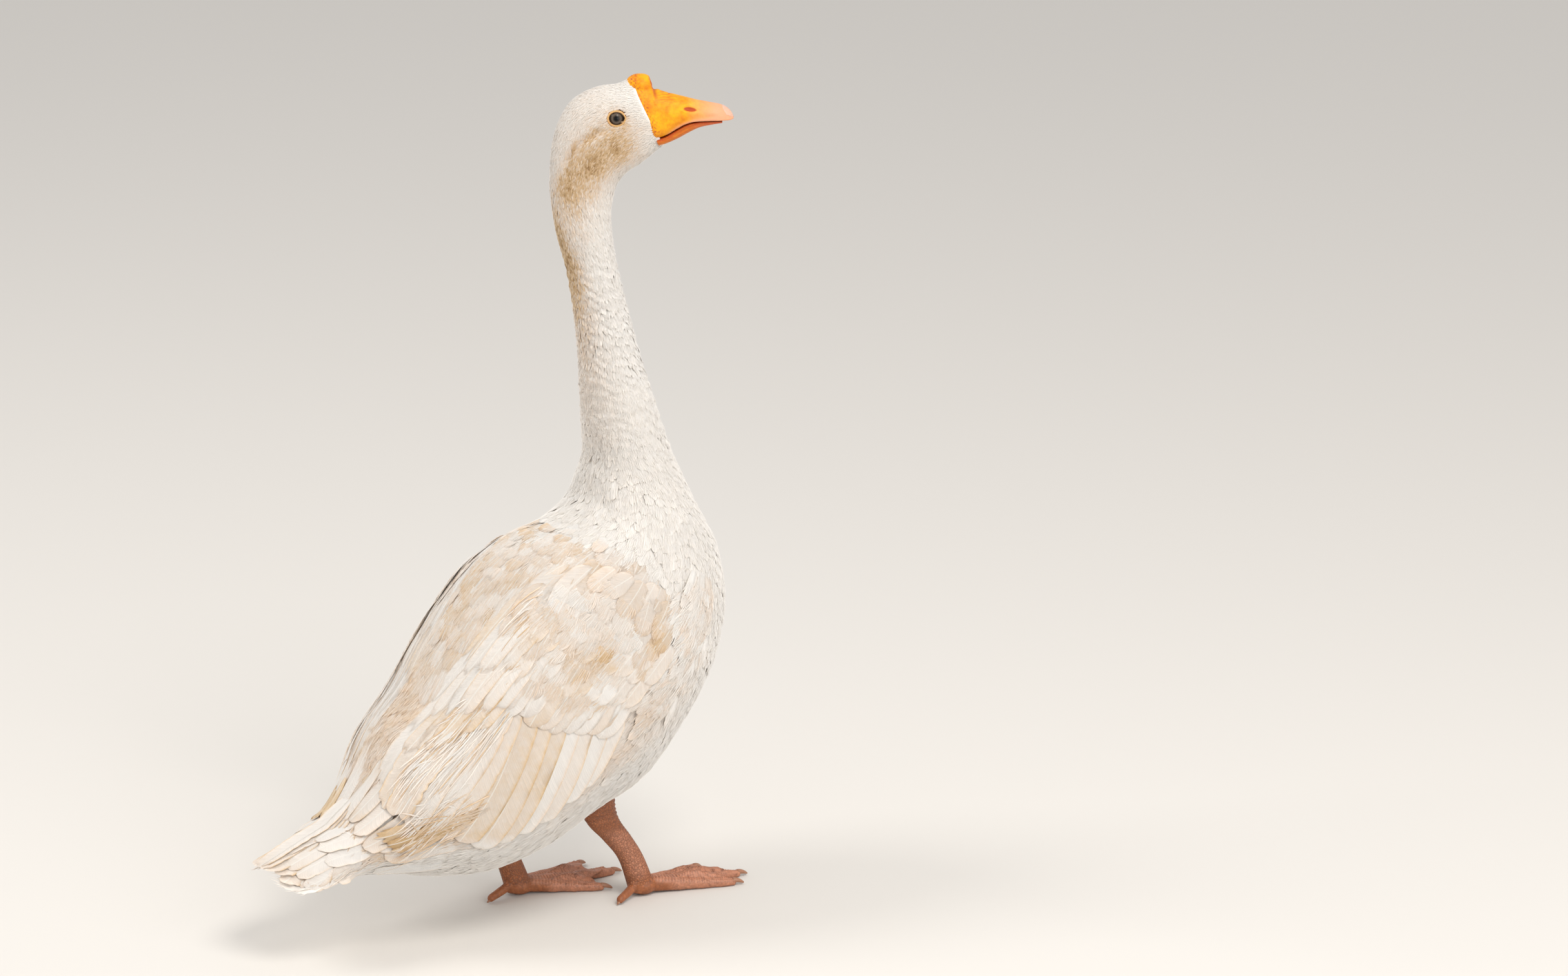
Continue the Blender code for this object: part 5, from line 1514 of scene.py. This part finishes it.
HEAD_AHEAD, HEAD_LEFT = (turned(way, HEAD_TURN) for way in ((1.0, 0.0, 0.0), (0.0, 1.0, 0.0)))
for side_name, centre in eye_centres.items():
    # The eye looks out square to the face round it, turned halfway to the head's own side.
    sign = -1.0 if in_head(centre[None])[0, 1] < 0 else 1.0
    near = grid(np.linspace(24.0, 28.8, 90), np.linspace(0.4, 2.5, 90) * sign)
    around_eye = form(*near).reshape(-1, 3)
    off = np.linalg.norm(around_eye - centre, axis=-1)
    axis = unit(unit(around_eye[off.argmin()] - centre) + 0.5 * sign * HEAD_LEFT)
    ahead_of_eye = unit(HEAD_AHEAD - axis * (HEAD_AHEAD @ axis))
    above_eye = np.cross(axis, ahead_of_eye)
    above_eye = above_eye * np.sign(above_eye[2])
    # The face near the eye as a bowl: height = a + b u + c v + d u u + e u v + f v v, fitted to the form.
    local = around_eye[off < 17] - centre
    u, v, height = local @ ahead_of_eye, local @ above_eye, local @ axis
    bend = np.linalg.lstsq(beside(u**0, u, v, u * u, u * v, v * v), height, rcond=None)[0]

    polar, turn = ring_grid(0.02, pi - 0.02, 72, 72)
    bulge = EYE_RADIUS * (1 + CORNEA_BULGE * held(1 - (polar / 0.62) ** 2))
    shares = np.cos(polar), np.sin(polar) * np.cos(turn), np.sin(polar) * np.sin(turn)
    ways = zip(shares, (axis, ahead_of_eye, above_eye), strict=True)
    points, quads, caps = closed_tube(centre + sum(way * (share * bulge)[..., None] for share, way in ways))
    if sign > 0:
        quads, caps = quads[:, ::-1], caps[:, ::-1]
    reach = np.where(polar < pi / 2, np.sin(polar) * EYE_RADIUS, 9.0)
    eyeball = mesh_from(
        f"eyeball_{side_name}", to_world(points), quads, caps, eye_paint,
        fields={"off_axis": np.concatenate([reach.ravel(), (0.0, 9.0)])},
    )
    spoke = beside(np.cos(turn), np.sin(turn), 0.1 * polar).reshape(-1, 3)
    spoke = np.concatenate([spoke, np.zeros((2, 3))]).astype(np.float32)
    eyeball.data.attributes.new("spoke", "FLOAT_VECTOR", "POINT").data.foreach_set("vector", spoke.ravel())
    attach(eyeball, "root")
    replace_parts(eyeball, f"eye_{side_name}")

    # Lid profile from the opening outwards: share of the way out, height over the ball or over the skin.
    way_out, turn = ring_grid(0, 1, 22, 120)
    corner = EYE_CORNER * (hump(turn, 0.35) + hump(turn - 2 * pi, 0.35))
    open_u, open_v = LID_OPENING[0] * np.cos(turn) + corner, LID_OPENING[1] * np.sin(turn)
    outer_u, outer_v = LID_OUTER[0] * np.cos(turn), LID_OUTER[1] * np.sin(turn)
    u, v = open_u + (outer_u - open_u) * way_out, open_v + (outer_v - open_v) * way_out
    on_form = bend[0] + bend[1] * u + bend[2] * v + bend[3] * u * u + bend[4] * u * v + bend[5] * v * v
    on_ball = np.sqrt(np.clip(EYE_RADIUS**2 - u * u - v * v, 1.0, None))
    share = held(way_out / 0.3)
    crest = np.maximum(on_form + 0.15, on_ball + 0.5)
    height = (on_ball + 0.12) * (1 - share) + crest * share
    height = height + 0.35 * np.sin(pi * held(way_out / 0.5))
    height = height - 2.6 * held((way_out - 0.55) / 0.45) ** 1.4
    crinkle = 0.1 * np.sin(turn * 34 + 3 * np.sin(turn * 5))
    crinkle += 0.09 * np.sin(way_out * 26 + 2 * np.sin(turn * 3))
    height = height + crinkle * share
    lid_top = centre + ahead_of_eye * u[..., None] + above_eye * v[..., None] + axis * height[..., None]
    lid_low = lid_top[::-1] - axis * 1.3
    lid_low[-1] = lid_top[0] - axis * 0.45
    rings, around = 2 * len(lid_top), lid_top.shape[1]
    i, j = grid(np.arange(rings), np.arange(around))
    row, below, after = i * around, (i + 1) % rings * around, (j + 1) % around
    quads = beside(row + j, below + j, below + after, row + after).reshape(-1, 4)
    if sign < 0:
        quads = quads[:, ::-1]
    rim = held(1 - way_out / 0.14) + 0.9 * held((way_out - 0.55) / 0.2)
    lid = mesh_from(
        f"eyelids_{side_name}", to_world(np.concatenate([lid_top, lid_low]).reshape(-1, 3)), quads,
        NO_TRIANGLES, lid_paint, fields={"rim": np.concatenate([rim, rim[::-1]])},
    )
    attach(lid, "root")

# ---------------------------------------------------------------- legs and feet
# Bare orange-brown legs in small hexagonal scales: the shank bends at a thick ankle, three toes with cross
# plates on top carry two webs, a short hind toe props each foot behind, and every toe ends in a blunt claw.

FEET = {"right": (-2.0, -31.0, 6.0), "left": (-93.0, 28.0, -2.0)}
LEG_LINE = [(0.0, 4.0), (0.0, 6.0), (11.0, 36.0), (25.0, 57.0), (39.0, 75.0), (45.0, 96.0), (46.0, 128.0)]
LEG_RADII = [(9.8, 12.6), (9.6, 12.8), (7.6, 12.0), (8.4, 13.6), (10.8, 15.2), (14.0, 17.0), (20.0, 23.0)]
ANKLE_RADII = 12.6, 11.2, 8.6
# Degrees outward and length of each front toe, then the hind toe's degrees from straight back.
TOES = {"right": ((12, 86), (0, 97), (-25, 76)), "left": ((22, 86), (0, 97), (-24, 76))}
HIND_TOES = {"right": 30.0, "left": -15.0}
HIND_START, HIND_LENGTH = 7.0, 36.0
CLAW_LENGTH, CLAW_RADIUS = 9.0, 2.6
LEG_GRAIN = 0.00093


def side_of(name):
    """-1 for a piece on the bird's right, 1 on its left."""
    return -1.0 if name == "right" else 1.0


def on_foot(name, ahead, out, up):
    """A point of the foot, ahead of, outward from and above its joint, as (forward, left, up)."""
    forward, left, turn = FEET[name]
    side = side_of(name)
    ahead, out, up = alike(ahead, out, up)
    local = beside(ahead, out * side, up)
    return turned(local, side * radians(turn)) + (forward, left, 0)


def from_foot(name, points):
    """The reverse of on_foot."""
    forward, left, turn = FEET[name]
    side = side_of(name)
    local = turned(points - (forward, left, 0), -side * radians(turn))
    return local[..., 0], local[..., 1] * side, local[..., 2]


def toe_place(name, degrees, reach, sideways, up):
    """Points of a toe pointing those degrees outward: reach along it, sideways of its middle line, and up."""
    way = radians(degrees)
    ahead = reach[:, None] * cos(way) - sideways * sin(way)
    return on_foot(name, ahead, reach[:, None] * sin(way) + sideways * cos(way), up)


def toe_tube(name, degrees, length, start=4.0):
    """A toe as a tube, flat below and round above, swollen at its three joints and blunt at its end."""
    along = np.linspace(0, 1, 70)
    joints = sum(hump(along - spot, 0.055) for spot in (0.36, 0.62, 0.84))
    end = np.sqrt(held(1 - held((along - 0.95) / 0.05) ** 2 * 0.93))
    half = (5.8 - 1.9 * along + 0.45 * joints) * end
    height = (13.4 - 7.6 * along**0.8 + 0.7 * joints) * end
    up, aside = squircle(full_turn(40), 2.0, 3.0)
    middle = 5.8 * (1 - along) ** 1.3 + 3.4 - 0.3 * along
    level = middle[:, None] + height[:, None] / 2 * up * np.where(up < 0, 1.1, 1.0)
    return toe_place(name, degrees, start + (length - start) * along, half[:, None] * aside, level)


def hind_tube(name):
    """The hind toe as a round tube sloping from the ankle down to the ground behind."""
    steps = np.linspace(0, 1, 40)
    angle = full_turn(32)
    thick = (4.6 - 1.2 * steps) * np.sqrt(held(1 - 0.9 * held((steps - 0.9) / 0.1) ** 2))
    level = (12.5 - 8.6 * steps**0.8)[:, None] + thick[:, None] * np.sin(angle)
    reach = HIND_START + (HIND_LENGTH - HIND_START) * steps
    return toe_place(name, 180.0 - HIND_TOES[name], reach, thick[:, None] * np.cos(angle) * 0.95, level)


def shank_tube(name):
    """The leg from the ankle up into the belly, leaning a little under the body at its top."""
    forward, left, _turn = FEET[name]
    rows = np.linspace(0, len(LEG_LINE) - 1, 90)
    centres, sizes = smooth_through(LEG_LINE, rows), smooth_through(LEG_RADII, rows)
    angle = full_turn(56)
    lean = -side_of(name) * 3.0 * held((centres[:, 1] - 75) / 53)
    ahead = forward - centres[:, :1] + sizes[:, 1:] * np.sin(angle)
    aside = (left + lean)[:, None] + sizes[:, :1] * np.cos(angle)
    return beside(ahead, aside, np.repeat(centres[:, 1:], len(angle), axis=1))


def web_sheet(name, one, two, seed):
    """The web between two toes: straight lines from toe to toe, drawn in by 0.2 * sine near its edge, and
    hanging in soft folds that grow towards the edge."""
    u, v = grid(np.linspace(0, 1, 50), np.linspace(0.08, 1, 60))
    reach = (one[1] * (1 - u) + two[1] * u) * 0.93 * v
    reach = reach * (1 - 0.15 * np.sin(pi * u) ** 0.7 * v**1.5 * (1 + 0.35 * np.sin(u * 9 + seed)))
    degrees = np.radians(one[0] * (1 - u) + two[0] * u)
    a, b, c = default_rng(seed).uniform(0, 6.28, 3)
    folds = 0.7 * np.sin(u * 11 + 2.5 * v + a) + 0.5 * np.sin(u * 19 - 5 * v + b)
    folds += 0.5 * np.sin(v * 21 + 3 * u + c)
    edge = held((v - 0.9) / 0.1)
    level = 4.6 + 2.2 * np.abs(2 * u - 1) ** 2 * (1 - 0.5 * v) + folds * (0.2 + 0.6 * v)
    level = level + 1.3 * edge * (1 + 0.9 * np.sin(u * 14 + a))
    arch = np.sin(pi * u) ** 0.8 * np.sin(pi * held(v * 0.86)) ** 0.8
    level = level + 8.5 * arch * (1 + 0.22 * np.sin(v * 9 + u * 4 + b))
    top = on_foot(name, reach * np.cos(degrees), reach * np.sin(degrees), level)
    out = np.zeros(top.shape)
    out[..., 2] = 1.0
    points, _, quads = sheets(top[None], 2.2, out[None], False)
    return points[0], quads, NO_TRIANGLES


leg_paint, tree, sockets = new_paint(
    "scaled_leg_skin", Roughness=0.5, Subsurface_Weight=0.12, Subsurface_Radius=(1.0, 0.3, 0.15),
    Subsurface_Scale=0.002,
)
warp = noise(tree, 90.0, 2.0, output="Color")
own_place = node(tree, "TexCoord", "Object")
bent = node(tree, "VectorMath", 0, {0: warp, 1: (0.0022,) * 3, 2: own_place}, operation="MULTIPLY_ADD")
over_leg = {"Vector": bent, "Scale": 430.0}
scale_edges = node(tree, "TexVoronoi", "Distance", over_leg, feature="DISTANCE_TO_EDGE")
scale_cells = node(tree, "TexVoronoi", "Color", over_leg)
colour = blend(tree, noise(tree, 70.0, 4.0, 0.6), (0.22, 0.066, 0.02), (0.39, 0.132, 0.048))
colour = blend(tree, field_of(tree, "pink"), colour, (0.48, 0.21, 0.125))
vary = spread(tree, node(tree, "SeparateColor", 0, {"Color": scale_cells}), 0.0, 1.0, 0.82, 1.15)
scaled = field_of(tree, "scales")
seamed = maths(tree, "MULTIPLY", spread(tree, scale_edges, 0.0, 0.16, 1.0, 0.0), scaled)
# Dark scale seams and toe creases, and painted shade in the shin's wrinkles and along the floor, darken the
# colour.
seams_creases_and_shade = maths(tree, "MULTIPLY_ADD", seamed, 0.75, field_of(tree, "creases_and_shade"), use_clamp=True)
colour = blend(tree, seams_creases_and_shade, brightened(tree, colour, vary), (0.13, 0.045, 0.022))
tree.links.new(colour, sockets["Base Color"])
ridged(tree, sockets, maths(tree, "MULTIPLY", spread(tree, scale_edges, 0.0, 0.35), scaled), 0.8, 0.0005)

claw_paint = skin_paint("horn_claw", (0.26, 0.115, 0.06), (0.42, 0.21, 0.125), 0.4, 300.0)

for name in ("right", "left"):
    side = side_of(name)
    points, quads, caps = ball((0, 0, 0), ANKLE_RADII)
    shells = [
        closed_tube(shank_tube(name)),
        (on_foot(name, points[:, 0] + 1.5, points[:, 1], points[:, 2] + 8.2), quads, caps),
        *(closed_tube(toe_tube(name, degrees, length)) for degrees, length in TOES[name]),
        closed_tube(hind_tube(name)),
    ]
    for seed, (one, two) in enumerate(zip(TOES[name][:-1], TOES[name][1:], strict=True)):
        shells.append(web_sheet(name, one, two, 900 + seed))
    shells = [(to_world(shell), quads, caps) for shell, quads, caps in shells]
    points, normals, faces = joined_skin(f"leg_{name}_skin", shells, LEG_GRAIN, 3)
    grain = points / MM
    ahead, out, up = from_foot(name, to_bird(points))
    outward = beside(-normals[:, 1], normals[:, 0], normals[:, 2])
    rise, creases_and_shade, pinkness = np.zeros((3, len(points)))
    scaled = np.clip((up - 9) / 4, 0.25, 1)
    for degrees, length in TOES[name]:
        # Cross plates: a step in every few millimetres along the top of the toe.
        way = radians(degrees)
        along = ahead * cos(way) + out * sin(way)
        aside = -ahead * sin(way) + out * cos(way)
        on_top = held((5.4 - np.abs(aside)) / 1.2) * held((along - 9) / 4) * (up < 16)
        on_top = on_top * held((outward[:, 2] - 0.15) / 0.3)
        plates = along / (3.3 - 0.9 * held(along / length)) + 0.05 * np.abs(aside)
        gap = np.abs(plates - np.round(plates))
        rise += on_top * (0.28 - 0.75 * hump(gap, 0.13))
        creases_and_shade += on_top * 0.55 * hump(gap, 0.12)
        pinkness = np.maximum(pinkness, on_top * 0.9)
        scaled = scaled * (1 - on_top)
    # Skin of the webs, wrinkles of the shin with painted shade in their grooves, creases over the ankle, a
    # pale strip down the outer side, and a painted contact shadow along the floor.
    web = held((np.hypot(ahead, out) - 22) / 10) * (up < 15) * (ahead > 0)
    shin = held((up - 74) / 6)
    wrinkle = np.sin(up * 1.55 + 1.2 * soft_noise(grain, 14.0, 24))
    strip = held(side * outward[:, 1]) ** 3 * held((up - 14) / 10) * held((72 - up) / 10)
    rise += 0.22 * soft_noise(grain, 3.0, 22) * web + 0.12 * soft_noise(grain, 1.6, 23)
    rise += 0.42 * wrinkle * shin
    rise += 0.5 * np.sin(up * 2.3) * hump(up - 70, 9.0) * held(outward[:, 0] + 0.4)
    creases_and_shade += 0.35 * web * (soft_noise(grain, 7.0, 21) > 0.45) + 0.35 * held(-wrinkle - 0.3) * shin
    # Painted contact shadow: the skin darkens within 2.2 mm of the floor.
    creases_and_shade += 0.35 * held(1 - up / 2.2)
    pinkness = np.maximum(np.maximum(pinkness, 0.75 * web), 0.75 * strip)
    points = points + normals * (rise * MM)[:, None]
    points[:, 2] = np.maximum(points[:, 2], 0.0003)
    fields = {"pink": held(pinkness), "creases_and_shade": np.clip(creases_and_shade, 0, 0.9), "scales": held(scaled)}
    leg = mesh_from(f"leg_{name}_skin", points, faces, NO_TRIANGLES, leg_paint, fields=fields)
    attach(leg, "root")
    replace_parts(leg, f"shank_{name}", f"thigh_{name}", f"foot_{name}", f"hind_toe_{name}")

    claws, count = [[], [], []], 0
    for degrees, length in (*TOES[name], (180.0 - HIND_TOES[name], 33.0)):
        front = abs(degrees) < 90
        size, base, drop = (1.0, 4.6, 2.9) if front else (0.75, 3.8, 2.2)
        steps = np.linspace(0, 1, 26)
        angle = full_turn(20)
        radius = CLAW_RADIUS * size * np.sqrt(held(1 - steps**2.2 * 0.93))
        reach = length - 3.0 + (CLAW_LENGTH + 1.0) * size * steps
        middle = base + 0.3 * np.sin(steps * 3) - drop * steps**1.6
        level = np.maximum(middle[:, None] + 0.85 * radius[:, None] * np.sin(angle), 0.35)
        points, quads, caps = closed_tube(
            toe_place(name, degrees, reach, radius[:, None] * np.cos(angle), level)
        )
        if side > 0:
            quads, caps = quads[:, ::-1], caps[:, ::-1]
        for kept, new in zip(claws, (points, quads + count, caps + count), strict=True):
            kept.append(new)
        count += len(points)
    points, quads, caps = (np.concatenate(kept) for kept in claws)
    horn = mesh_from(f"claws_{name}", to_world(points), quads, caps, claw_paint)
    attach(horn, "root")
    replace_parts(horn, *(f"claw_{name}_{toe}" for toe in ("outer", "middle", "inner")))

bounds = {"cad": cad_bounds, "visual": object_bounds()}
bounds = {kind: [list(map(float, corner)) for corner in corners] for kind, corners in bounds.items()}
